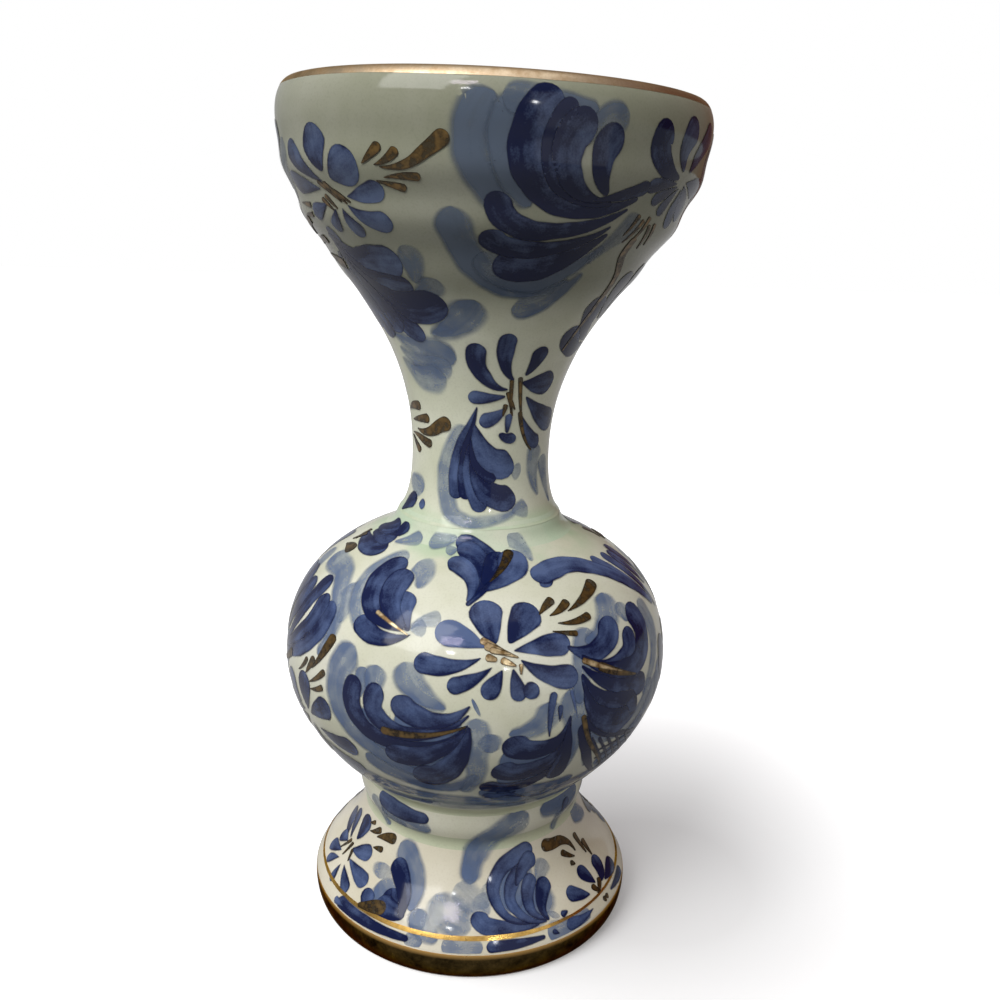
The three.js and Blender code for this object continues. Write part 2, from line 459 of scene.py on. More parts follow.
# Collar
# The soft roll of clay between the foot and the body, thrown as a ring around the hollow that runs
# up from the foot, and glazed with them.
collar_outline = np.vstack([roll, [(hollow_radius, collar_high)], [(hollow_radius, collar_low)]])
collar = spun("collar_thrown", collar_outline)
# The collar's glaze is painted paler than the foot's and the body's: painted light in the shade under the
# body's overhang.
dressed(collar, glaze("collar_glaze", "#E6E4D2", "#D9D8C1", "#B5AD93"), "glazed_earthenware", "collar")

# Body
# The hollow globe that holds the water, thrown in the same earthenware with a floor of its own and
# closed in to the shoulder. Slip joins it to the collar, and it is glazed inside and out.
body_low, body_high = [corner.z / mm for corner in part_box("body")]
globe_radius = 71.1
globe_rise = 46
shoulder_radius = 29.6
body_wall = 5.5
body_floor = 7
floor_fillet = 2
body_overhang = 1
body_foot_radius = foot_top_radius + collar_flare + body_overhang
equator = (globe_radius, body_low + globe_rise)
underside = sweep((body_foot_radius, body_low), equator, (0.34, 0.165), (0, 0.45), 1.2)
shoulder = sweep(equator, (shoulder_radius, body_high), (0, 0.815), (0, 0.16))
body_side = np.vstack([underside, shoulder[1:]])
floor_top = body_low + body_floor
body_inside = spaced(inset(body_side, body_wall), 3)
body_inside = body_inside[body_inside[:, 1] > floor_top + floor_fillet][::-1]
body_outline = np.vstack([
    [(0, body_low), (body_foot_radius * 0.5, body_low)],
    body_side,
    body_inside,
    [(body_inside[-1][0] - floor_fillet, floor_top), (0, floor_top)],
])
waist_joint = creased("waist_slip", roll, body_side, 1.0, 1.4, hollow_radius)[0]
dressed(waist_joint, pooled, "glazed_slip", "collar_slip_joint")
body = spun("body_thrown", body_outline)
body_pool = (body_high - 3, 9, "#A5BF9A", 0.75)
body_glaze = glaze("body_glaze", "#DAD9C9", "#CBCBB4", "#A9A58C", body_pool)
dressed(body, body_glaze, "glazed_earthenware", "body")

# Neck and mouth
# The slim neck and the trumpet mouth, thrown in one, with the ridges that fingers leave and a
# rolled lip. The mouth sank a little to one side while the clay was soft.
neck_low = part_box("neck_and_mouth")[0].z / mm
neck_height = 21.6
mouth_height = 121.2
neck_radius = 24.7
mouth_radius = 72.4
neck_wall = 6
lip_height = 9
ridge_count = 3
ridge_spacing = 16.6
ridge_height = 0.6
mouth_lean = 2.3
mouth_dip = math.radians(1.36)
mouth_low = neck_low + neck_height
lip_low = mouth_low + mouth_height - lip_height
# The heights over which the mouth's colours turn to painted shade, under the flare that faces down.
mouth_shade_heights = (224, 244)


def leant(points):
    """The mouth leans and dips towards +X, more and more from the neck's narrowest place up."""
    rise = np.maximum(points[:, 2] - mouth_low, 0) / mouth_height
    across = points[:, 0]
    dip = mouth_dip * rise
    right = mouth_lean * rise**1.5 + across * np.cos(dip)
    return np.stack([right, points[:, 1], points[:, 2] - across * np.sin(dip)], 1)


def ridged(curve):
    """The flare with the ridges of throwing, which fade towards the neck and the lip."""
    below = lip_low - curve[:, 1]
    depth = below / ((ridge_count + 0.5) * ridge_spacing)
    swell = np.where(depth < 1, np.sin(math.pi * np.clip(depth, 0, 1)), 0)
    wave = np.cos(2 * math.pi * below / ridge_spacing)
    return curve + np.stack([ridge_height * swell * wave, np.zeros_like(wave)], 1)


root = sweep((shoulder_radius, neck_low), (neck_radius, mouth_low), (0.7, 0.16), (0, 0.46))
flare = sweep((neck_radius, mouth_low), (mouth_radius, lip_low), (0, 0.51), (0.03, 0.41))
lip_outer = 0.78 * neck_wall
lip_inner = neck_wall - lip_outer
lip_middle = mouth_radius - lip_outer
quarter = np.linspace(0, math.pi / 2, 12)
sine, cosine = np.sin(quarter), np.cos(quarter)
lip_outside = np.stack([lip_middle + lip_outer * cosine, lip_low + lip_height * sine], 1)
lip_inside = np.stack([lip_middle - lip_inner * sine, lip_low + lip_height * cosine], 1)
neck_side = np.vstack([root, ridged(flare)[1:], lip_outside[1:]])
bore = spaced(inset(flare, neck_wall), 2.5)[::-1][1:]
neck_outline = np.vstack([neck_side, lip_inside[1:], bore, [(neck_radius - neck_wall, neck_low)]])
neck = spun("neck_and_mouth_thrown", neck_outline, leant)
neck_tones = ("#DCDDCA", "#CBCDB5", "#A09F89")
neck_pool = (neck_low + 1, 6, "#A5BF9A", 0.6)
# From 224 mm up the glaze is painted darker and greyer: painted shade on the overhanging flare.
neck_glaze = glaze("neck_and_mouth_glaze", *neck_tones, neck_pool, (*mouth_shade_heights, "#ACACA9"))
dressed(neck, neck_glaze, "glazed_earthenware", "neck_and_mouth")

# Slip joint between the body and the neck
# The crease at the shoulder, where the neck was stuck on with liquid clay and the glaze ran
# together over it into a green pool. It fills the corner in a soft curve through two points.
corner = [(shoulder_radius + 1.5, body_high - 2.0), (shoulder_radius + 0.3, body_high + 0.3)]
shoulder_bore = shoulder_radius - body_wall
shoulder_joint, shoulder_curve = creased("shoulder_slip", body_side, root, 6, 1.8, shoulder_bore, corner)
shoulder_glaze = glaze("shoulder_pool_glaze", "#CFD3BE", "#BACBB0", "#97A88C")
dressed(shoulder_joint, shoulder_glaze, "glazed_slip", "shoulder_slip_joint")

# Gold on the lip
# Lustre brushed over the roll of the lip and fired on, in a pale tan.


def laid_over(outline, curve):
    """The outline with the ring's curve in place of the stretch that the ring covers."""
    order = np.argsort(curve[:, 1])
    inside = (outline[:, 1] > curve[:, 1].min()) & (outline[:, 1] < curve[:, 1].max())
    ring = np.interp(outline[:, 1], curve[order, 1], curve[order, 0])
    return np.stack([np.where(inside, np.maximum(outline[:, 0], ring), outline[:, 0]), outline[:, 1]], 1)


neck_skin = skin(laid_over(neck_side, shoulder_curve), leant)
over_lip = skin(np.vstack([lip_outside[5:], lip_inside[1:7]]), leant)
lip_edge = 0.6
lip_span = (lip_edge, over_lip["along"][-1] - lip_edge)
lip_gilt = banded("lip_lustre", over_lip, *lip_span, waver=0.25, lift=0.06, seed=7)
pale_gold = lustre("lip_gold_lustre", "#D8C4A6", "#AD9270", 0.3)
dressed(lip_gilt, pale_gold, "gold_lustre", "lip_gilding")


# Brushwork on the foot
# Cobalt laid on the raw glaze with a round brush in single strokes: the brush is pressed down at
# the head and lifted towards the tail. Thin washes went on first and the gold sprigs last, over
# the fired glaze.
brush_columns = 8
row_gap = 1.3
narrowest = 0.02
blunt_tail = 0.2
tightest_bend = 0.85
rim_width = 0.55
film_step = 0.011
wash_coat = {"slot": "pale_blue_wash", "lift": 0.05, "bleed": 1.5, "fuzz": 0.25}
cobalt_coat = {"slot": "cobalt_brushwork", "lift": 0.15}
gold_coat = {"slot": "gold_lustre", "lift": 0.26}


def radius_at(section, up):
    return np.interp(up, section["along"], section["outline"][:, 0])


def run_along(section, path):
    """Distances along a path of angles and heights, over the clay."""
    step = np.diff(path, axis=0)
    across = step[:, 0] * np.radians(radius_at(section, (path[1:, 1] + path[:-1, 1]) / 2))
    return np.r_[0, np.cumsum(np.hypot(across, step[:, 1]))]


def rounded(share):
    """The half-width of a round end, at shares of the way in from its tip."""
    return np.sqrt(1 - np.clip(1 - share, 0, 1) ** 2)


def brushed(name, section, strokes, lift, seed, bleed, fuzz):
    """Films of pigment, one for each stroke, which is its width, the share of it left at the tail,
    its load of pigment, and places from head to tail. The pigment bleeds into the glaze, and its
    edge fades over half a millimetre, or over a share of the stroke's width. Each film lies a
    little higher than the last, in turns of eight."""
    dice = np.random.default_rng(seed)
    across = np.linspace(-1, 1, brush_columns + 1)[:, None]
    caps = 1 - np.cos(np.linspace(0, math.pi / 2, 6))
    points, places, rims, loads, sizes = [], [], [], [], []
    for number, (width, tail, load, *path) in enumerate(strokes):
        fine = through(path, np.linspace(0, 1, 200))
        run = run_along(section, fine)
        length = run[-1]
        head = min(width / 2, 0.45 * length)
        end = min(width * tail / 2, 0.3 * length)
        rows = max(3, round((length - head - end) / row_gap) + 1)
        stops = np.r_[head * caps[:-1], np.linspace(head, length - end, rows)]
        if end > blunt_tail:
            stops = np.r_[stops, length - end * caps[-2::-1]]
        angle = np.interp(stops, run, fine[:, 0])
        up = np.interp(stops, run, fine[:, 1])
        radius = radius_at(section, up)
        ahead = np.gradient(np.radians(angle)) * radius
        rise = np.gradient(up)
        size = np.hypot(ahead, rise)
        past = np.clip((stops - head) / (length - head), 0, 1)
        share = (tail + (1 - tail) * (1 - past**1.5)) * rounded(stops / head)
        if end > blunt_tail:
            share = share * rounded((length - stops) / end)
        wave = dice.uniform(0, 6.28, 4)
        share = share * (1 + 0.025 * np.sin(stops / 2.3 + wave[0]) + 0.02 * np.sin(stops / 1.1 + wave[1]))
        half = np.maximum((width / 2 + bleed) * share, narrowest)
        # The inner side of a tight bend stops short of its centre, so the film doesn't fold
        bend = np.gradient(np.unwrap(np.arctan2(rise, ahead))) / np.gradient(stops)
        side = across * half
        tight = tightest_bend / np.maximum(np.abs(bend), 0.01)
        side = np.where(side * bend > 0, np.clip(side, -tight, tight), side)
        film_angle = angle + np.degrees(-rise / size * side / radius)
        film_up = up + ahead / size * side
        points.append(on_skin(section, film_angle, film_up, lift + film_step * (number % 8)))
        start = dice.uniform(0, 400, 2)
        place = np.stack([np.broadcast_to(stops, side.shape) + start[0], side + start[1]], -1)
        places.append(place.reshape(-1, 2))
        rims.append(((1 - np.abs(across)) * half / (fuzz * width or rim_width)).ravel())
        loads.append((load * (0.86 + 0.28 * past) * (1 - 0.28 * across)).ravel())
        sizes.append(len(stops) - 1)
    piece = sheet(name, sizes[0], brush_columns)
    bpy.ops.object.mode_set(mode="EDIT")
    for size in sizes[1:]:
        bpy.ops.mesh.primitive_grid_add(x_subdivisions=size, y_subdivisions=brush_columns)
    bpy.ops.object.mode_set(mode="OBJECT")
    placed(piece, np.vstack(points))
    corners = np.empty(len(piece.data.loops), int)
    piece.data.loops.foreach_get("vertex_index", corners)
    piece.data.uv_layers.active.data.foreach_set("uv", np.vstack(places)[corners].ravel())
    for kind, values in (("rim", rims), ("load", loads)):
        attribute = piece.data.attributes.new(kind, "FLOAT", "POINT")
        attribute.data.foreach_set("value", np.concatenate(values))
    return closed(piece, lift)


def painted(name, section, strokes, seed, finish, slot, lift, bleed=0.3, fuzz=0):
    """Strokes, and the same ones half round the vase, where the painter repeated them."""
    half_round = [(*stroke[:3], *[(angle + 180, up) for angle, up in stroke[3:]]) for stroke in strokes]
    dressed(brushed(name, section, strokes + half_round, lift, seed, bleed, fuzz), finish, slot)


def pigment(name, thin, thick, weakest, strongest, rimmed, mouth_shade=None):
    """Cobalt in the glaze: see-through where the brush was dry, dark where it was wet, with a rim
    where the pigment gathered, streaks along the stroke, pools 7 mm apart, and a grain of 0.55 mm,
    coarser than the ground pigment's own, so that it can be seen."""
    material, tree, shader, place = finish_of(name)
    brush = add(tree, "UVMap", {})
    long = add(tree, "Mapping", {"Vector": brush, "Scale": (0.06, 0.5, 1)})
    streaks = add(tree, "TexNoise", {"Vector": long, "Scale": 1.0, "Detail": 2.0})
    grain = add(tree, "TexNoise", {"Vector": place, "Scale": 1000 / 0.55, "Detail": 2.0})
    pools = add(tree, "TexNoise", {"Vector": place, "Scale": 1000 / 7, "Detail": 2.0})
    load = add(tree, "Attribute", {}, attribute_name="load").outputs["Fac"]
    rim = add(tree, "Attribute", {}, attribute_name="rim").outputs["Fac"]
    edge = add(tree, "MapRange", {"Value": rim, "From Min": 0.6, "From Max": 2.6, "To Min": rimmed,
                                  "To Max": 0.0}, interpolation_type="SMOOTHSTEP")
    total = add(tree, "Math", {0: load, 1: edge}, operation="ADD")
    for noise, most in ((streaks, 0.11), (grain, 0.07), (pools, 0.2)):
        part = add(tree, "MapRange", {"Value": noise, "From Min": 0.3, "From Max": 0.7,
                                      "To Min": -most, "To Max": most})
        total = add(tree, "Math", {0: total, 1: part}, operation="ADD")
    depth = add(tree, "MapRange", {"Value": total, "From Min": 0.3, "From Max": 0.86})
    colour = add(tree, "Mix", {0: depth, 6: linear(thin), 7: linear(thick)}, data_type="RGBA")
    # Painted shade: from the given heights up the cobalt turns greyer and darker.
    if mouth_shade:
        colour = painted_shade_above(tree, place, colour, *mouth_shade)
    cover = add(tree, "MapRange", {"Value": total, "From Min": 0.1, "From Max": 1.0,
                                   "To Min": weakest, "To Max": strongest})
    fade = add(tree, "MapRange", {"Value": rim}, interpolation_type="SMOOTHSTEP")
    seen = add(tree, "Math", {0: cover, 1: fade}, operation="MULTIPLY")
    normal = dimples(tree, place)
    joined(tree, shader, {**fired_gloss, "Base Color": colour, "Alpha": seen, "Normal": normal})
    return material


def scratched(name, pale, dark):
    """Gold lustre laid with a fine brush over the fired glaze, thin, with a dark edge, and mottled so
    that it only shines in places. Its tones are partly painted: dark ones stand in for the dark
    surroundings it mirrors, and pale ones are a painted highlight."""
    material, tree, shader, place = finish_of(name)
    rub = add(tree, "TexNoise", {"Vector": place, "Scale": 1000 / 2.5, "Detail": 3.0})
    share = add(tree, "MapRange", {"Value": rub, "From Min": 0.4, "From Max": 0.65})
    colour = add(tree, "Mix", {0: share, 6: linear(dark), 7: linear(pale)}, data_type="RGBA")
    rim = add(tree, "Attribute", {}, attribute_name="rim").outputs["Fac"]
    edge = add(tree, "MapRange", {"Value": rim, "From Max": 0.9})
    outlined = add(tree, "Mix", {0: edge, 6: linear("#2E2414"), 7: colour}, data_type="RGBA")
    cover = add(tree, "MapRange", {"Value": rub, "From Min": 0.35, "From Max": 0.55,
                                   "To Min": 0.75, "To Max": 1.0})
    joined(tree, shader, {"Base Color": outlined, "Alpha": cover, "Normal": dimples(tree, place),
                          "Metallic": 0.5, "Roughness": 0.3})
    return material


def gilded(strokes):
    """Sprigs carry the same load of lustre all over."""
    return [(width, tail, 1.0, *path) for width, tail, *path in strokes]


cobalt_tones = ("#52648E", "#111A40", 0.84, 1.0, 0.18)
wash_tones = ("#8796AC", "#5A6C8E", 0.30, 0.88, 0.0)
cobalt = pigment("cobalt_brushwork", *cobalt_tones)
wash = pigment("pale_cobalt_wash", *wash_tones)
# The sprigs' dark brown is partly the lustre's own and partly a painted reflection of dark surroundings;
# the pale copy is a painted highlight for gold that faces the window.
sprig_gold = scratched("sprig_gold_lustre", "#6A5229", "#382B14")
highlit_gold = scratched("painted_highlight_gold_lustre", "#D2BE96", "#86683C")

foot_wash = [
    (8.5, 0.5, 0.8, (-37, 32), (-28.5, 27.5), (-23, 20), (-23, 11)),
    (13, 0.7, 0.9, (-40, 17), (-33, 13), (-26, 10)),
    (9, 0.6, 0.5, (-41.5, 23), (-41, 17)),
    (8, 0.6, 0.5, (-21.5, 9), (-15.5, 8)),
    (4.4, 0.5, 0.6, (-22, 2.2), (-15.5, 2.2)),
    (14, 0.7, 0.42, (-14, 19), (-8, 13), (1, 8)),
    (9, 0.6, 0.3, (-6, 23), (1, 18), (8, 13)),
    (7, 0.6, 0.5, (-19, 13), (-17, 7), (-10, 5)),
    (14, 0.7, 0.85, (28, 29), (19, 22), (18, 12)),
    (12, 0.7, 0.9, (31, 20), (27, 13), (18, 9)),
    (5, 0.6, 0.7, (28, 3), (36, 2.6), (48, 2.6)),
    (6, 0.5, 0.25, (4, 20), (7, 15)),
    (4.4, 0.7, 0.55, (-9, 2.2), (5, 2.2)),
    (5, 0.4, 0.4, (37, 27), (33, 23.5), (30, 20)),
    (6, 0.5, 0.3, (8, 24), (11, 17)),
    (3, 0.3, 0.5, (33, 9), (31.5, 7)),
    (7, 0.4, 0.8, (66, 36), (74, 32), (84, 28)),
]

foot_cobalt = [
    # The flower on the left, clockwise from its top petal
    (8, 0.15, 0.8, (-65, 32.8), (-65.3, 27), (-66, 21.8)),
    (6.5, 0.15, 0.6, (-50.8, 23), (-56.5, 21), (-64.5, 18.2)),
    (6, 0.1, 0.5, (-45, 12.8), (-52, 14), (-62, 15.2)),
    (5, 0.1, 0.6, (-52, 6), (-56, 8.5), (-62, 12.3)),
    (3.5, 0.1, 0.6, (-63.2, 4), (-63.8, 8), (-64, 11.5)),
    (4, 0.1, 0.6, (-75, 6.4), (-72, 9), (-67.8, 12)),
    (5, 0.1, 0.6, (-81, 10.5), (-76, 12), (-70, 14)),
    (5, 0.1, 0.6, (-80, 16), (-76, 17.2), (-71, 18)),
    (7, 0.1, 0.9, (-87, 26.5), (-82, 22.5), (-75, 18.5)),
    (5.5, 0.1, 0.9, (-78, 30), (-75.5, 24.5), (-71, 19.6)),
    # The dark leaf beside it
    (8.5, 0.3, 0.75, (-33, 16.5), (-30, 11), (-27, 6.5)),
    (6.3, 0.2, 0.7, (-42, 12.8), (-41, 8.5), (-37, 6)),
    (8, 0.4, 0.75, (-37, 10.5), (-31, 9.5), (-24, 9)),
    (7.5, 0.3, 0.9, (-36.5, 26.3), (-31.5, 22), (-26.5, 15), (-25.5, 8)),
    (4.8, 0.5, 0.85, (-54, 2.2), (-38, 2.2), (-20.5, 2.2)),
    (2.6, 0.3, 0.4, (-56, 1.6), (-50, 1.6)),
    # The leaf that opens like a fan
    (6.5, 0.2, 0.6, (2.5, 14), (5, 10), (14, 7.8), (26, 7)),
    (6.5, 0.2, 0.6, (31.5, 33.3), (24, 31.5), (15, 28.5), (10, 22), (12, 14), (24, 8)),
    (5.5, 0.2, 0.55, (27, 26.5), (20, 24), (16.5, 17), (20, 10.8), (29, 7)),
    (5.5, 0.2, 0.6, (29, 23.5), (24.5, 18.5), (24, 12), (30, 7.4)),
    (6, 0.2, 0.75, (35, 20.8), (31, 17), (28.5, 11), (30, 7)),
    (6, 0.2, 0.6, (32, 30), (25, 27), (20, 21)),
    (4.2, 0.4, 0.9, (6, 2.2), (16, 2.2), (27, 2.2)),
    (1.8, 0.2, 0.8, (30, 3.2), (32.5, 1.4)),
    # The flower on the right
    (6, 0.15, 0.7, (41, 13), (45, 10.8), (51.5, 7.5)),
    (6, 0.15, 0.95, (52.5, 17.8), (55, 13.5), (57.3, 9)),
    (7, 0.15, 0.9, (65.5, 16.5), (64.5, 11.5), (60.5, 7.8)),
    (2.5, 0.3, 0.8, (35, 6.9), (38.5, 7.2)),
    (4.2, 0.15, 0.5, (36, 3), (41, 2.3), (50, 2.8)),
    (6, 0.15, 0.9, (76, 8), (71, 7.6), (63, 7)),
    (3.8, 0.3, 0.9, (78, 2.2), (70, 2.2), (63, 2.6)),
]

foot_gold = [
    (1, 0.3, (-69, 20), (-72.5, 14)),
    (1, 0.3, (-66.5, 20), (-67.5, 13.5)),
    (0.9, 0.3, (-64, 18.5), (-61.5, 14)),
    (1.2, 0.1, (-57.5, 32.8), (-62, 31)),
    (2, 0.1, (-51.2, 32.3), (-54.5, 30.5), (-59, 28.8)),
    (3.4, 0.08, (-39.7, 32.2), (-44, 31.7), (-52.5, 29)),
    (1.8, 0.1, (-45.5, 26.3), (-48, 26), (-52, 25)),
    (4.6, 0.25, (-32, 9), (-36, 8.3), (-40, 7), (-44, 5.6)),
    (4.2, 0.1, (37, 32), (43, 30.8), (50, 30), (55.5, 26.5), (57, 23)),
    (2, 0.15, (47.5, 26.3), (51, 23.8), (55, 21.7)),
    (1.5, 0.15, (50.5, 21), (53, 19.3)),
    (1.8, 0.2, (61, 28.5), (62.5, 24), (63.5, 19)),
    (2, 0.2, (65.5, 24), (66, 20), (66, 16.5)),
    (1.8, 0.3, (54.5, 9.5), (56, 7), (57.5, 5.6)),
    (1.8, 0.3, (60.5, 9.5), (58, 7), (55.5, 5.6)),
    (1.5, 0.3, (57.3, 3.2), (58, 1)),
    (1.5, 0.3, (59.3, 3.2), (59.8, 1.2)),
]

painted("foot_wash", foot_skin, foot_wash, 11, wash, **wash_coat)
painted("foot_cobalt", foot_skin, foot_cobalt, 12, cobalt, **cobalt_coat)
painted("foot_gold", foot_skin, gilded(foot_gold), 13, sprig_gold, **gold_coat)

# Brushwork on the collar
# Washes and two short strokes on the roll. Some of the foot's washes run up over the joint onto
# it, as thin films of cobalt that the brush carried across the crease.
collar_wash = [
    (6.5, 0.5, 0.6, (-50, 6), (-43, 4), (-33, 3)),
    (9, 0.6, 0.6, (-50, 8), (-36, 6), (-19, 5)),
    (7, 0.4, 0.6, (52, 12), (48, 4)),
    (9, 0.6, 0.9, (64, 11), (50, 9.5), (34, 11.5)),
    (5, 0.4, 0.7, (72, 9), (80, 4)),
]

pedestal_wash = [
    (10, 0.7, 0.7, (28, 49), (17, 44), (7, 38.5), (1.5, 32), (0.5, 23)),
    (7, 0.4, 0.6, (53, 49), (49, 42), (47, 35)),
    (6, 0.5, 0.5, (-56, 47), (-52, 41), (-46, 36)),
]

collar_cobalt = [
    (8, 0.5, 0.62, (-51, 11), (-37, 9.3), (-20, 9.8)),
    (4.5, 0.3, 0.6, (54, 10.5), (50, 5.5)),
]

collar_skin = skin(roll)
painted("collar_wash", collar_skin, collar_wash, 21, wash, **wash_coat)
below = dome[dome[:, 1] < lower_curve[0, 1]]
above = roll[roll[:, 1] > lower_curve[-1, 1]]
pedestal_skin = skin(np.vstack([below, lower_curve, above]))
painted("pedestal_wash", pedestal_skin, pedestal_wash, 23, wash, **wash_coat | {"lift": 0.04})
painted("collar_cobalt", collar_skin, collar_cobalt, 22, cobalt, **cobalt_coat)

# Brushwork on the body
# A flower of single strokes in the middle, leaves of overlapping strokes around it, washes behind
# them, and sprigs of gold between.
body_wash = [
    # Under the leaves low on the left and in the middle
    (15, 0.5, 1.25, (-29, 58), (-27, 51), (-16, 47.5), (-4, 53)),
    (14, 0.5, 1.25, (-21, 57), (-12, 54), (-3, 57)),
    (13, 0.5, 1.25, (-20, 38), (-10, 41), (-4, 50)),
    (13, 0.5, 1.2, (8, 46), (17, 41), (24, 48)),
    (12, 0.5, 1.2, (7, 34), (16, 33), (25, 42)),
    (10, 0.6, 1.2, (2, 25), (16, 22.5), (34, 26)),
    # Round the leaf on the lower left
    (10.5, 0.5, 0.8, (-35.5, 76), (-40, 65), (-37, 51), (-28, 41.5), (-14, 33.5)),
    (7.5, 0.5, 0.7, (-27.3, 72.3), (-28, 62)),
    (9.5, 0.3, 0.7, (-19.8, 75), (-15.5, 67), (-7, 61.5)),
    (4.5, 0.5, 0.6, (-31, 70.5), (-32.5, 60)),
    (9, 0.5, 0.9, (-32, 38), (-20, 30), (-6, 27.5), (1, 36)),
    (8, 0.5, 0.6, (0.5, 59), (1, 45), (0.5, 32), (-3, 24)),
    (4.2, 0.8, 0.9, (1, 62.8), (0, 62.2)),
    # Round the big leaf on the left
    (8.5, 0.5, 0.7, (-79, 98.5), (-70, 98), (-60, 97.5), (-52, 90), (-46.5, 80), (-50, 68)),
    (6.5, 0.5, 0.5, (-50.5, 95), (-46, 89), (-45.5, 81)),
    # Round the leaf on the upper left
    (7.5, 0.4, 0.6, (-35, 113), (-44, 105.5), (-44.5, 95), (-39, 85), (-30, 79)),
    (7.5, 0.4, 0.5, (-29, 111.5), (-23, 107.5), (-22.5, 100)),
    (3.5, 0.1, 0.4, (-11, 90.5), (-17, 88.5), (-21, 86)),
    (4, 0.2, 0.4, (-15, 87), (-20, 85.5)),
    # Under the shoulder's crease
    (4.5, 0.3, 0.6, (-36.5, 122.4), (-45, 119.5), (-53, 117)),
    (5.5, 0.3, 0.6, (-31, 121.3), (-22, 122.5), (-13, 124.5)),
    (3, 0.3, 0.5, (-18, 118), (-12, 120)),
    (5, 0.3, 0.4, (18.5, 124.5), (25, 122), (27.5, 113)),
    # Round the leaves on the right
    (10, 0.4, 0.7, (49, 94), (46.5, 87), (40, 81), (33, 80)),
    (5, 0.4, 0.6, (53, 88.5), (53.5, 81)),
    (8, 0.4, 0.6, (64.5, 85), (66.5, 74), (62, 62), (55, 54)),
    (4.5, 0.4, 0.6, (60, 58), (56, 50), (48, 44), (38, 43.5), (32, 51)),
    (9, 0.4, 0.8, (66, 58), (60, 46), (50, 40)),
    (14, 0.7, 1.25, (62, 40), (50, 34), (40, 30)),
    (9, 0.6, 1.2, (64, 29), (54, 27), (43, 23)),
    (9, 0.5, 0.7, (36, 84), (31, 73), (29, 60)),
    # Round the leaf low on the right side
    (10, 0.5, 0.8, (68, 62), (70, 50), (76, 40), (84, 33)),
    (8, 0.4, 0.7, (104, 66), (106, 56), (102, 46)),
    (9, 0.4, 0.7, (92, 98), (96, 92), (96, 82)),
    # Low in the middle
    (8, 0.4, 0.7, (21, 63), (18, 56), (9, 53)),
    (6, 0.5, 0.7, (4, 53.5), (5, 46)),
    (9, 0.4, 0.7, (26, 66), (28, 52), (28, 38)),
    (10, 0.6, 0.9, (-52, 28), (-30, 20), (-8, 18)),
    (10, 0.6, 0.9, (-14, 17), (14, 16), (44, 24)),
    (8, 0.7, 0.7, (-70, 24), (-44, 13), (-12, 10.5)),
    (8, 0.7, 0.7, (-20, 10), (10, 9), (50, 14)),
    (4, 0.3, 0.5, (27.5, 57), (28.3, 42), (27, 29)),
    (4, 0.3, 0.7, (31.5, 56), (33, 43), (36, 31)),
]

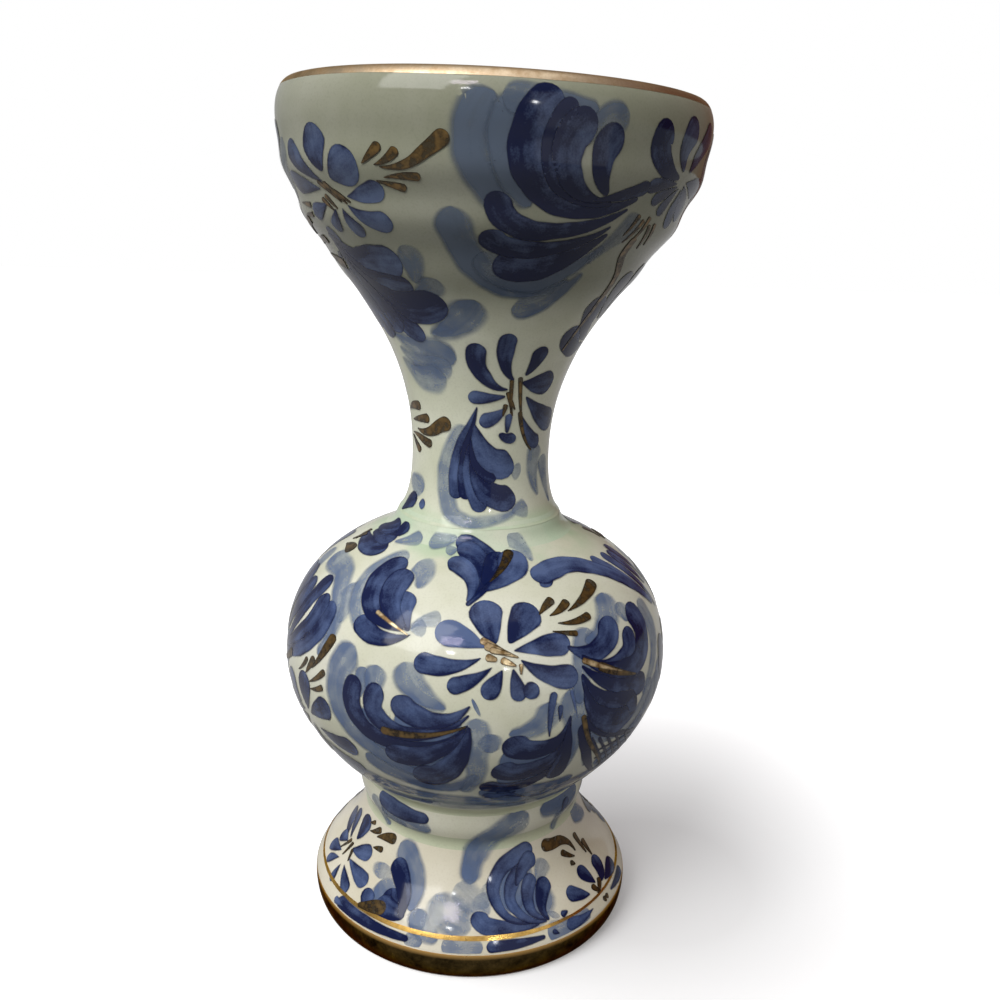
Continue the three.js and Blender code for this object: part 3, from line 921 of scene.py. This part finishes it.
body_cobalt = [
    # The flower in the middle, clockwise from the petal at its top
    (11, 0.15, 0.6, (2.5, 97.8), (3.6, 90), (5.8, 82.6)),
    (10.5, 0.15, 0.7, (19.5, 95), (14.3, 89.5), (9.6, 82.6)),
    (8, 0.1, 0.55, (28.3, 80.6), (20, 80.9), (10.8, 80.2)),
    (8, 0.1, 0.7, (29, 69.6), (21.5, 71.2), (12.6, 77.2)),
    (5.5, 0.15, 0.7, (12.4, 64.2), (11.2, 69), (10.3, 74.6)),
    (6, 0.5, 0.75, (17, 68.6), (13, 65.8)),
    (6.2, 0.12, 0.7, (2.6, 65.4), (4.6, 69), (7.4, 74.4)),
    (5.6, 0.1, 0.7, (-7.3, 68.6), (-2, 70.6), (4.6, 75.3)),
    (7, 0.1, 0.6, (-16.8, 76.4), (-8.5, 75), (1.6, 78.2)),
    (9, 0.1, 0.25, (-12.3, 86.6), (-5, 85), (3, 81.4)),
    # The leaf above it, and its lobe to the right
    (7.5, 0.25, 0.85, (-14, 122.5), (-1, 120.5), (8, 114.5), (2.5, 103), (-3.6, 95.5)),
    (8.5, 0.2, 0.75, (-12, 119), (-2, 117.5), (2.5, 110), (-2, 100)),
    (7.5, 0.15, 0.55, (-14.8, 113.6), (-7, 111.5), (-2, 105), (-3.5, 97)),
    (8.5, 0.2, 0.8, (13.5, 118.5), (8, 112.5), (2, 104)),
    (11, 0.1, 0.6, (17.5, 119.5), (16.5, 112), (10.5, 106.5), (2.6, 101.2)),
    # The long comma on the shoulder, and the fan of strokes that it runs into
    (8.6, 0.35, 0.5, (23.5, 104.6), (33, 107.8), (43, 108.6), (53, 105.3), (61, 99.5), (69, 90), (77, 79)),
    (6, 0.3, 0.5, (29.3, 101.2), (27, 105.5)),
    (4.5, 0.3, 0.5, (61, 107.3), (66.5, 99), (72, 89), (77, 80)),
    (5, 0.3, 0.6, (71.3, 106), (73.5, 97), (77, 86), (80, 76)),
    (6, 0.3, 0.6, (78.5, 104.5), (79.5, 95), (82, 85)),
    (5, 0.3, 0.6, (84, 106), (85, 95), (86, 84)),
    # The leaf on the right, and the dark one under it
    (9.5, 0.15, 0.65, (44.5, 86), (42, 79), (36, 76), (27, 79.6)),
    (7.5, 0.15, 0.7, (51, 80), (49, 72), (41, 70), (31, 76)),
    (10, 0.2, 0.8, (56, 86), (58.5, 76), (53.5, 67.5), (42, 68), (31, 75.5)),
    (8.5, 0.15, 0.85, (56.5, 58.3), (49, 60), (39, 64.5), (30.5, 72.6)),
    (14, 0.1, 0.9, (52.5, 50.5), (45, 52.5), (36, 58.5), (30.3, 70)),
    (10, 0.15, 0.85, (49, 48.3), (41, 50), (34, 56), (31, 66)),
    # The leaf on the lower left
    (7.5, 0.15, 1, (-33, 66.8), (-34.3, 57.5), (-29.5, 49.5), (-19, 46.5), (-8, 49.5), (-1.5, 56.5)),
    (7.5, 0.15, 0.75, (-25.6, 66), (-27.3, 57.5), (-21.5, 52), (-10, 53), (-1.2, 60)),
    (8.5, 0.12, 0.65, (-21, 63.8), (-16.5, 58.8), (-9.5, 57.3), (-1, 63)),
    (9, 0.15, 0.8, (-24.5, 42.8), (-18, 42), (-9.5, 46), (-1.5, 55)),
    (11, 0.12, 0.8, (-17.5, 33.3), (-10, 34.5), (-4.5, 42.5), (-1.2, 56)),
    # The flower on the left, low down
    (9.5, 0.1, 0.95, (-55.5, 59.6), (-55.8, 53), (-55.3, 45)),
    (8.6, 0.1, 0.75, (-42.8, 52.3), (-47.6, 49), (-54, 44)),
    (9, 0.1, 0.7, (-67.5, 55.5), (-65, 50), (-60, 45.5)),
    (8.5, 0.1, 0.75, (-35, 38.6), (-42, 37.5), (-51, 39.5)),
    (6, 0.1, 0.9, (-36, 26.5), (-44, 28.5), (-52.5, 35)),
    (8, 0.1, 0.8, (-72, 44), (-66, 43), (-59, 43)),
    (8, 0.1, 0.8, (-69, 32), (-64, 36), (-58, 41)),
    (7, 0.1, 0.8, (-55, 25), (-55.5, 31), (-55.5, 39)),
    # The big leaf on the left
    (8, 0.15, 0.85, (-62.5, 93.6), (-64.5, 85), (-69, 72), (-76.5, 59.5)),
    (10, 0.15, 0.7, (-53.5, 86.5), (-52.5, 78), (-59, 68), (-75.5, 59)),
    (8, 0.2, 0.75, (-57.5, 88), (-58, 78), (-65.5, 68), (-76, 60)),
    (10, 0.2, 0.9, (-72, 89), (-73.5, 78), (-78, 64)),
    (11, 0.2, 0.95, (-80, 91), (-82, 78), (-81, 64)),
    (10, 0.2, 0.9, (-88, 90), (-87, 78), (-82, 62)),
    # The leaf on the upper left
    (9.5, 0.2, 0.8, (-34.3, 111), (-40, 101.5), (-37, 91.5), (-22, 85)),
    (10, 0.2, 0.7, (-29.8, 107), (-31, 97), (-21.5, 85.5)),
    (9, 0.15, 0.65, (-25.5, 98.5), (-24.6, 92), (-20, 84.8)),
    (7.5, 0.1, 0.7, (-38.3, 86), (-31.5, 81.3), (-19.3, 83.8)),
    # The leaf that hangs from the neck on the far left
    (9, 0.3, 0.85, (-52.5, 113.8), (-62, 110.3), (-72, 110.5), (-84, 112)),
    (8, 0.3, 0.9, (-54, 117.5), (-66, 116.5), (-80, 115.5)),
    (6, 0.4, 0.9, (-55, 126), (-57, 119)),
    (8, 0.3, 0.9, (-62, 124), (-72, 120), (-84, 118)),
    # The leaf low on the right side
    (9, 0.15, 0.9, (74, 68), (72, 59), (78, 50), (90, 47)),
    (9, 0.15, 0.8, (84, 70), (81, 62), (84, 54), (92, 50)),
    (8, 0.15, 0.7, (96, 69), (92, 62), (92, 56), (95, 51)),
    (8, 0.12, 0.9, (77, 36), (82, 36), (89, 39), (95, 46)),
    (8, 0.12, 0.8, (88, 26), (92, 31), (96, 38), (98, 46)),
    # The leaf low in the middle, and the stalks over it
    (9, 0.12, 0.9, (8.8, 51.6), (14, 46.5), (21, 46.8), (26.2, 57)),
    (9.5, 0.15, 0.85, (6, 40), (12, 36.2), (20.5, 39), (26, 52)),
    (7, 0.15, 1, (2.6, 30.3), (9, 27.3), (18, 30), (25, 42)),
    (7, 0.2, 1, (24.5, 29), (25.8, 40), (25.8, 54)),
    (4, 0.3, 0.5, (3.5, 22.6), (9, 21.5), (14, 24)),
    (5, 0.3, 1.15, (30.5, 53), (33, 42), (38, 31), (44, 23)),
    (4, 0.3, 1.15, (31, 55), (38, 47), (47, 42), (58, 38)),
    # The net of thin lines between the stem and the leaf above it
    (1.2, 0.6, 1.3, (34, 46), (40, 36), (46, 27)),
    (1.2, 0.6, 1.3, (37, 45), (43, 35.5), (50, 26)),
    (1.2, 0.6, 1.3, (41, 43), (47, 34.5), (54, 26)),
    (1.2, 0.6, 1.3, (45, 42), (51, 34), (58, 26)),
    (1.2, 0.6, 1.3, (50, 41), (56, 33.5), (62, 27)),
    (1.2, 0.6, 1.3, (37, 38), (46, 38.5), (56, 37.5)),
    (1.2, 0.6, 1.3, (39, 33.5), (49, 34.5), (60, 33)),
    (1.2, 0.6, 1.3, (42, 29), (51, 30), (61, 29)),
    (1.2, 0.6, 1.3, (45, 24.5), (53, 25.5), (61, 25)),
    (3.5, 0.3, 0.7, (8, 25), (13, 21), (19, 17)),
    (2.8, 0.3, 0.5, (21.5, 66), (20.3, 58), (20.3, 50.5)),
    (1.8, 0.3, 0.5, (23.2, 61.3), (23, 55.5)),
    (1.3, 0.2, 0.25, (26.5, 65.5), (27.5, 60), (28.6, 55)),
]

body_gold = [
    # The sprig above it
    (2.6, 0.1, (27.4, 96.3), (24, 94.3), (20.4, 91.2)),
    (2.6, 0.08, (32.6, 94.8), (29.5, 92.6), (24, 90.5)),
    (3.8, 0.06, (49, 99.2), (41.5, 95), (31, 91)),
    (2.4, 0.08, (38.6, 88.1), (33, 87), (26, 87.6)),
    (1.4, 0.1, (31.6, 83), (27.5, 84), (23.5, 85.2)),
    # Veins of the leaves
    (3, 0.1, (18, 119.5), (12.5, 112.5), (5, 105)),
    (2.6, 0.2, (36, 71.3), (43, 67), (51, 63.3)),
    (2.2, 0.2, (-25, 51), (-14, 51.5), (-2, 56)),
    # The sprig over the flower on the left
    (1.3, 0.1, (-54.6, 65), (-56.5, 61.5), (-59.5, 58.5)),
    (2.3, 0.1, (-51, 66.6), (-52.5, 63.5), (-54.7, 59.4)),
    (3.2, 0.08, (-44.6, 77), (-47.2, 70), (-51.5, 62.6)),
    (1.8, 0.1, (-45.4, 64), (-48.5, 60.5), (-52.5, 57.3)),
    (1.6, 0.1, (-45.8, 58.2), (-48.5, 56.3), (-52, 55)),
    (4.5, 0.1, (-70.5, 104), (-76, 104.6), (-82, 103.5)),
    (1.2, 0.3, (-80, 112), (-84, 106)),
    (1.2, 0.3, (-84, 114), (-82, 107)),
    (2.5, 0.1, (-66, 62), (-74, 56), (-82, 52)),
    # The stem on the lower right
    (1.4, 0.2, (30.3, 56), (33, 46), (39, 36), (46, 26)),
]

# Strokes in the pale copy of the gold: painted highlights where they face the window.
body_highlit = [
    # Scratched stamens of the flower in the middle
    (1.8, 0.3, (1.3, 84), (8, 80.5)),
    (2.2, 0.2, (2.5, 82.2), (12, 78)),
    (2, 0.5, (2.8, 78.6), (6, 77.5)),
    (1.8, 0.3, (7, 77.6), (11.2, 75.4)),
    (1.6, 0.3, (4, 80.8), (10, 79.2)),
    (0.9, 0.3, (12.6, 76), (12.4, 72.5)),
    # The veins of the leaves on the upper left and the right, with painted highlights where they face the
    # window
    (1, 0.3, (-33, 89), (-26.5, 86.3), (-20, 83.4)),
    (1.6, 0.2, (31, 74.4), (37, 70.8), (45, 66.6)),
]

body_skin = skin(laid_over(body_side, shoulder_curve))
painted("body_wash", body_skin, body_wash, 31, wash, **wash_coat)
painted("body_cobalt", body_skin, body_cobalt, 32, cobalt, **cobalt_coat)
painted("body_gold", body_skin, gilded(body_gold), 33, sprig_gold, **gold_coat)
painted("body_highlit_gold", body_skin, gilded(body_highlit), 34, highlit_gold, **gold_coat)

# Brushwork on the neck and the mouth
# The largest leaf opens under the lip, with a flower on each side of it and another on the neck.
# Near the lip the cobalt is painted greyer and darker, as painted shade on the mouth's flare.
neck_wash = [
    (13.5, 0.5, 1.15, (-0.5, 150), (-4.6, 141), (-3, 128), (4.5, 117)),
    (11, 0.5, 1.1, (5.5, 149.5), (2.4, 140), (4.2, 128), (10, 119)),
    (8, 0.5, 0.95, (1, 148.6), (10, 148.3), (23, 147)),
    (8.5, 0.4, 0.7, (31, 147), (25, 144), (18, 138)),
    (10.5, 0.4, 1.1, (-10.3, 118.5), (-8.5, 107), (-4, 98), (5, 91), (16, 89), (29, 94)),
    (9, 0.4, 0.9, (-3, 103), (4, 96), (14, 92.5), (27, 98), (36, 107)),
    (8, 0.3, 0.8, (10, 82), (17, 82.5), (26, 88), (33, 97)),
    (7, 0.3, 0.6, (44, 118), (38, 110), (33, 100)),
    (8, 0.4, 0.8, (-28, 104), (-25.5, 97), (-27, 90)),
    (8, 0.4, 0.8, (-18, 92.5), (-22, 88), (-30, 85)),
    (13, 0.3, 0.8, (-4.6, 85), (-8.5, 78.5), (-17.5, 72.5), (-29, 70)),
    (12.5, 0.3, 0.75, (-15.5, 60.5), (-27, 62), (-42, 64), (-58, 68)),
    (9, 0.3, 0.6, (-19, 57), (-31, 57), (-44, 58), (-58, 63)),
    (10.5, 0.3, 0.6, (-24, 53.5), (-35, 52.5), (-47, 53), (-60, 59)),
    (7, 0.4, 0.5, (-8, 35), (-21, 28), (-28, 17), (-24, 8), (-10, 3), (10, 3.5), (28, 6)),
    (4.5, 0.3, 0.5, (40, 7), (25, 6)),
    (4, 0.4, 0.4, (35, 19.5), (26, 20.5)),
    (6, 0.3, 0.5, (52, 29), (48, 20), (54, 10)),
    (5, 0.3, 0.6, (60, 24), (66, 16), (70, 6)),
    (7, 0.4, 0.6, (-50, 10.5), (-62, 12.5), (-76, 13)),
    (11, 0.5, 0.8, (78, 142), (75, 133), (79, 121), (88, 110)),
    (9, 0.4, 0.7, (112, 138), (108, 128), (103, 118)),
    (8, 0.4, 0.7, (84, 60), (90, 52), (92, 42)),
]

neck_cobalt = [
    # The flower on the mouth's left, clockwise from its top petal
    (11.5, 0.15, 0.7, (-49.2, 141.4), (-48.6, 135), (-47, 127.5)),
    (12.6, 0.15, 0.6, (-34.6, 132.3), (-38.6, 129.2), (-45, 125.6)),
    (7, 0.1, 0.5, (-28, 123), (-33.5, 121), (-41, 119.8)),
    (7, 0.1, 0.6, (-27.2, 112.5), (-32.5, 112.5), (-41.5, 117.3)),
    (6, 0.1, 0.6, (-39.3, 107), (-41.5, 110), (-44, 116.3)),
    (5, 0.1, 0.6, (-51.5, 108.5), (-49, 112), (-47, 116)),
    (5.5, 0.1, 0.6, (-60.5, 114), (-56, 115.5), (-50.5, 117.5)),
    (7.5, 0.1, 0.7, (-68.5, 125), (-62, 123.8), (-51.5, 122)),
    (7.5, 0.1, 0.7, (-63, 136.2), (-57.5, 130.5), (-49, 124.3)),
    # The big leaf of crescents on the mouth
    (11.5, 0.15, 0.85, (14, 151), (8.8, 144), (7, 135), (10, 126.5), (17, 120.6), (27, 119.2), (40, 123.5)),
    (6, 0.3, 1, (17.5, 149), (13.5, 142), (12.6, 133.5), (15.6, 126), (23, 121.7), (32, 121.3)),
    (10.5, 0.15, 0.85, (22.5, 145.5), (17.5, 140), (17, 132), (21, 125), (29, 122)),
    (9, 0.2, 0.85, (29.5, 143), (26, 137), (26, 130), (29.5, 124)),
    (5, 0.2, 0.95, (42, 128), (36, 125), (26, 122)),
    (8, 0.15, 0.9, (1.8, 123.5), (2.2, 117.5), (8.5, 112.5), (20, 112.5), (30, 115.5), (38, 120)),
    (8, 0.15, 0.9, (-1.5, 111.5), (1.5, 107.5), (10, 105), (22, 107), (34, 114.5)),
    (11.5, 0.15, 0.95, (1.6, 100.6), (9, 98.6), (18, 99.4), (27, 104.3), (34, 112)),
    # The flower on the mouth's right
    (10, 0.15, 0.8, (45, 146), (42.6, 139), (46, 134), (53, 131)),
    (9.5, 0.15, 0.6, (57.5, 147.5), (53.5, 141.5), (54.5, 133)),
    (9, 0.15, 0.6, (70, 147), (64, 141), (58, 133)),
    (5, 0.15, 0.8, (41, 127.5), (46, 128.5), (53, 129.3)),
    (5, 0.15, 0.8, (45.5, 123), (49, 125), (54, 128.5)),
    (5, 0.15, 0.7, (51.5, 118.5), (53, 123), (55, 128)),
    (6, 0.1, 0.6, (60, 114.5), (59, 121), (57, 128)),
    (7, 0.1, 0.6, (68, 118), (63, 123), (57.5, 129)),
    (7, 0.1, 0.6, (72, 128), (66, 129), (58, 130)),
    # The leaf on the left under the mouth
    (13, 0.2, 0.7, (-29.5, 98), (-39, 97.5), (-51, 98), (-60, 107)),
    (8, 0.2, 0.85, (-28.5, 88.5), (-38, 89.5), (-50, 93), (-58, 103)),
    (13.5, 0.15, 1, (-17.5, 84.6), (-28, 80.5), (-42, 81.5), (-54, 90), (-60, 104)),
    (8, 0.2, 0.8, (-31.5, 69.5), (-40, 71), (-50, 80), (-58, 98)),
    (11, 0.2, 0.85, (-48, 69), (-54, 80), (-59, 98)),
    (10, 0.2, 0.8, (-60, 66), (-63, 76), (-60, 94)),
    (10, 0.2, 0.85, (-72, 69), (-70, 80), (-62, 100)),
    (5, 0.3, 0.75, (-58, 109.5), (-56, 104), (-57, 97)),
    # The leaf on the right under the mouth
    (10, 0.2, 0.95, (47, 74), (53, 67.5), (62, 64), (72, 66)),
    (10, 0.2, 0.95, (52, 87), (56, 78), (64, 70), (72, 68)),
    (9, 0.2, 0.9, (60, 97), (63, 87), (69, 76)),
    (9, 0.2, 0.9, (72, 100), (73, 88), (74, 76)),
    # The flower on the neck, clockwise from the petal at its top
    (6.5, 0.2, 0.75, (12.5, 71.8), (11.5, 64.5), (13.5, 58), (20, 53.3)),
    (6, 0.2, 0.95, (33, 66.5), (32, 61), (27, 55)),
    (9, 0.12, 0.8, (54, 52.5), (44, 51.7), (26, 52.5)),
    (8.5, 0.1, 0.8, (72, 36), (59, 37.5), (46, 41), (31.5, 47)),
    (5.5, 0.1, 0.6, (54, 29.5), (46, 30.5), (37, 34.5), (29.5, 41)),
    (2.6, 0.5, 0.6, (20.5, 41), (20, 34)),
    (4, 0.4, 0.6, (28, 32.8), (20, 32.2), (14, 34)),
    (5.5, 0.15, 0.5, (-2, 38.3), (6, 39), (18.5, 43.5)),
    (5, 0.2, 0.6, (-10, 47.3), (0, 46.8), (16, 47.4)),
    (7, 0.15, 0.85, (-3.3, 67.5), (-4.5, 60), (2.5, 53.5), (17, 50)),
    # The leaf on the neck
    (5.5, 0.15, 0.6, (-17, 10.5), (-19.5, 18), (-17, 28), (-8, 38), (-3.5, 43.5)),
    (4.5, 0.15, 1, (-9.5, 10.5), (-13, 18), (-11.5, 28), (-6, 37), (-3.5, 43)),
    (6, 0.3, 0.6, (3, 6.5), (-3, 12), (-9, 20), (-8, 30)),
    (9.5, 0.1, 0.85, (29.3, 11.3), (16, 11.2), (2, 15), (-8, 24)),
    (10.8, 0.1, 0.65, (28, 22.8), (14, 23.2), (2, 27), (-5, 37)),
    (3.5, 0.15, 1, (13, 18), (3, 19.5), (-6, 25), (-8, 33)),
    # The leaf that fills the right side of the mouth
    (9, 0.15, 0.9, (84, 146), (80, 138), (83, 128), (92, 121)),
    (9, 0.15, 0.8, (96, 147), (91, 139), (92, 130), (96, 122)),
    (8, 0.2, 0.8, (106, 143), (102, 136), (100, 129), (98, 122)),
    (7, 0.2, 0.9, (82, 117), (86, 113), (93, 113), (98, 118)),
    (6, 0.1, 0.7, (84, 106), (90, 105), (97, 110)),
    (6, 0.1, 0.7, (95, 97), (97, 103), (99, 111)),
    # The leaf that crosses to the body on the far left
    (6, 0.3, 0.8, (-56, 7), (-64, 6), (-74, 1)),
    (4, 0.3, 0.3, (-45, 6.5), (-52, 6)),
]

neck_gold = [
    # Scratched stamens of the flower on the mouth's left
    (1.1, 0.2, (-51.5, 124.5), (-43.5, 118)),
    (1.1, 0.2, (-49, 124), (-41.5, 117.5)),
    (1, 0.2, (-50.5, 120), (-46, 116)),
    (1, 0.2, (-52.5, 119), (-47.8, 115.5)),
    (1, 0.2, (-46, 121.5), (-40, 118)),
    (1.2, 0.1, (-61, 116.8), (-69, 117.6)),
    (1.2, 0.1, (-62, 113.8), (-69, 113.7)),
    # The sprig beside it
    (2.6, 0.08, (-27, 135.4), (-29.3, 133), (-32.4, 130)),
    (2.4, 0.08, (-22.6, 134.3), (-25, 131.7), (-29, 129.7)),
    (4.2, 0.05, (-10.5, 138.9), (-15.5, 134), (-20, 130.4), (-27.5, 129.2)),
    (2, 0.08, (-17.2, 126.5), (-21, 126.7), (-27, 126.1)),
    (1.8, 0.08, (-21.4, 122.8), (-25, 123.8), (-29.5, 125)),
    # A sprig on the right side of the mouth
    (2.4, 0.08, (112, 112), (106, 110), (102, 106)),
    (2.6, 0.08, (114, 104), (107, 104), (102, 102)),
    (3.6, 0.06, (118, 95), (111, 96.5), (103, 98.5)),
    # The hatching and the stem under the flower on the right
    (1, 0.2, (43.5, 118.5), (40, 111.5)),
    (1, 0.2, (46, 117), (41.5, 108.8)),
    (1, 0.2, (48.5, 118), (44.5, 108)),
    (1, 0.2, (49.5, 115.5), (51.3, 106.5)),
    (1, 0.2, (52, 116), (53.5, 108)),
    (2.4, 0.3, (46, 111), (46.5, 104), (50, 97.5), (52.5, 89), (53, 78), (49, 64)),
    # Stamens and stem of the flower on the neck
    (0.9, 0.3, (18.5, 53.5), (20, 47), (21.5, 41)),
    (1, 0.3, (24, 54.5), (27, 47), (31, 38.5)),
    (1, 0.3, (17, 44.5), (15.5, 40)),
    (1, 0.3, (18, 47.5), (24.5, 42.3)),
    (0.9, 0.3, (17, 49), (20, 45), (23, 40)),
    (1.1, 0.3, (29, 41.5), (36, 32), (45, 26.8)),
    # The sprig on the neck's left
    (2.8, 0.08, (-53, 41), (-60, 41), (-74, 38.5)),
    (2.6, 0.08, (-44, 37.4), (-54, 36.6), (-68, 35.3)),
    (4.6, 0.05, (-24, 37.2), (-32, 35.7), (-42, 33), (-61, 32.6)),
    (2.6, 0.08, (-42.5, 28), (-50, 28.8), (-62, 30.2), (-70, 30.6)),
    (1.8, 0.08, (-57.5, 24.5), (-64, 26.8), (-72, 29.5)),
]

# Copies of the cobalt that turn greyer and darker near the lip: painted shade.
shaded_mouth_cobalt = pigment("shaded_mouth_cobalt_brushwork", *cobalt_tones, (*mouth_shade_heights, "#F6EEDF"))
shaded_mouth_wash = pigment("shaded_mouth_cobalt_wash", *wash_tones, (*mouth_shade_heights, "#F3E6CE"))
painted("neck_wash", neck_skin, neck_wash, 41, shaded_mouth_wash, **wash_coat)
painted("neck_cobalt", neck_skin, neck_cobalt, 42, shaded_mouth_cobalt, **cobalt_coat)
painted("neck_gold", neck_skin, gilded(neck_gold), 43, sprig_gold, **gold_coat)


# Floor
# A plain pale sweep of paper. The camera sees it as white, darker around the foot, where the vase
# keeps the light off it and where the paper's glow is painted lower: a painted shadow centred a
# little to the vase's right. The glaze mirrors three tenths of that white, and other rays see it dull.
shade_middle = (0.075, 0.0, 0)
bpy.ops.mesh.primitive_plane_add(size=8)
floor = bpy.context.object
floor.name = "floor"
paper = bpy.data.materials.new("white_paper")
paper.use_nodes = True
tree = paper.node_tree
tree.nodes.clear()
path = add(tree, "LightPath", {})
mirrored = add(tree, "Math", {0: path.outputs["Is Glossy Ray"], 1: 0.3}, operation="MULTIPLY")
seen = add(tree, "Math", {0: path.outputs["Is Camera Ray"], 1: mirrored}, operation="MAXIMUM")
seen = add(tree, "Math", {0: seen, 1: path.outputs["Is Transmission Ray"]}, operation="MAXIMUM")
place = add(tree, "TexCoord", {}).outputs["Object"]
# Painted shadow: the glow is lowest in a disc round shade_middle, to the vase's right, where its shadow
# falls.
off = add(tree, "VectorMath", {0: place, 1: shade_middle}, operation="SUBTRACT")
away = add(tree, "VectorMath", {0: off}, operation="LENGTH")
rise = add(tree, "MapRange", {"Value": away, "From Min": 0.04, "From Max": 0.25,
                              "To Min": 0.12, "To Max": 1.03})
dull = add(tree, "BsdfDiffuse", {"Color": linear("#6A6966")})
lit = add(tree, "BsdfDiffuse", {"Color": linear("#E0E0E0")})
glow = add(tree, "Emission", {"Color": (1, 1, 1, 1), "Strength": rise})
both = add(tree, "AddShader", {0: lit, 1: glow})
surface = add(tree, "MixShader", {0: seen, 1: dull, 2: both})
add(tree, "OutputMaterial", {"Surface": surface})
floor.data.materials.append(paper)

# Light
# A soft window high on the left in front, with weak fills, in a dim room. The room is brown on the
# right, as the vase's warm right side shows, and its wall behind the vase is pale. The camera sees
# it white, and the glaze mirrors a quarter of that white low down, away from the brown side.
world = bpy.data.worlds.new("room")
scene.world = world
world.use_nodes = True
tree = world.node_tree
tree.nodes.clear()
path = add(tree, "LightPath", {})
glossy = path.outputs["Is Glossy Ray"]
way = add(tree, "TexCoord", {}).outputs["Generated"]
level = add(tree, "SeparateXYZ", {"Vector": way}).outputs["Z"]
height = add(tree, "MapRange", {"Value": level, "From Min": -0.1, "From Max": 0.9})
room = add(tree, "Mix", {0: height, 6: linear("#5A5A58"), 7: linear("#B8B8BA")}, data_type="RGBA")
right = add(tree, "VectorMath", {0: way, 1: (0.9, 0.44, 0)}, operation="DOT_PRODUCT")
side = add(tree, "MapRange", {"Value": right, "From Min": 0.25, "From Max": 0.85})
share = add(tree, "Mix", {0: glossy, 2: 0.65, 3: 1.0})
brown = add(tree, "Math", {0: side, 1: share}, operation="MULTIPLY")
warm = add(tree, "Mix", {0: brown, 6: room, 7: linear("#6E3F26")}, data_type="RGBA")
behind = add(tree, "VectorMath", {0: way, 1: (-0.4, 0.92, 0)}, operation="DOT_PRODUCT")
wall = add(tree, "MapRange", {"Value": behind, "From Min": 0.1, "From Max": 0.8,
                              "To Min": 0.95, "To Max": 2.5})
bright = add(tree, "Mix", {0: glossy, 2: wall, 3: 0.9})
dim = add(tree, "Background", {"Color": warm, "Strength": bright})
white = add(tree, "Background", {"Color": (1, 1, 1, 1), "Strength": 1.0})
low = add(tree, "MapRange", {"Value": level, "From Min": 0.2, "From Max": 0.4,
                             "To Min": 1.0, "To Max": 0.0})
shiny = add(tree, "Math", {0: 1.0, 1: side}, operation="SUBTRACT")
for factor in (low, glossy, 0.25):
    shiny = add(tree, "Math", {0: shiny, 1: factor}, operation="MULTIPLY")
seen = path.outputs["Is Camera Ray"]
for other in (path.outputs["Is Transmission Ray"], shiny):
    seen = add(tree, "Math", {0: seen, 1: other}, operation="MAXIMUM")
shown = add(tree, "MixShader", {0: seen, 1: dim, 2: white})
add(tree, "OutputWorld", {"Surface": shown})


def window(name, turn, rise, away, width, height, level, colour="#FFFFFF", glint=False):
    """A soft light that faces the vase, at a turn from the viewer's side (to the right) and a rise
    above the level, in degrees. Level is how bright it makes a white surface that faces it. A
    glint shows only as a reflection."""
    middle = Vector((0, 0, 0.15))
    side = math.radians(turn)
    up = math.radians(rise)
    way = Vector((math.sin(side) * math.cos(up), -math.cos(side) * math.cos(up), math.sin(up)))
    lamp = bpy.data.lights.new(name, "AREA")
    lamp.shape = "RECTANGLE"
    lamp.size = width
    lamp.size_y = height
    lamp.color = linear(colour)[:3]
    lamp.energy = math.pi**2 * away**2 * level
    made = bpy.data.objects.new(name, lamp)
    made.location = middle + way * away
    made.rotation_euler = (-way).to_track_quat("-Z", "Y").to_euler()
    made.visible_diffuse = not glint
    scene.collection.objects.link(made)


window("window", -42, 43, 1.1, 0.6, 0.65, 0.89)
window("fill_right", 38, 14, 0.7, 0.5, 0.5, 0.13)
window("skylight", 10, 80, 1.1, 0.7, 0.7, 0.12)
window("lamp_left", -16, 42, 0.9, 0.16, 0.12, 0.16, "#F6E6FA", glint=True)
window("bulb_left", -15, 31, 0.9, 0.05, 0.04, 0.07, glint=True)
window("bulb_right", 18, 17, 0.9, 0.03, 0.04, 0.04, glint=True)
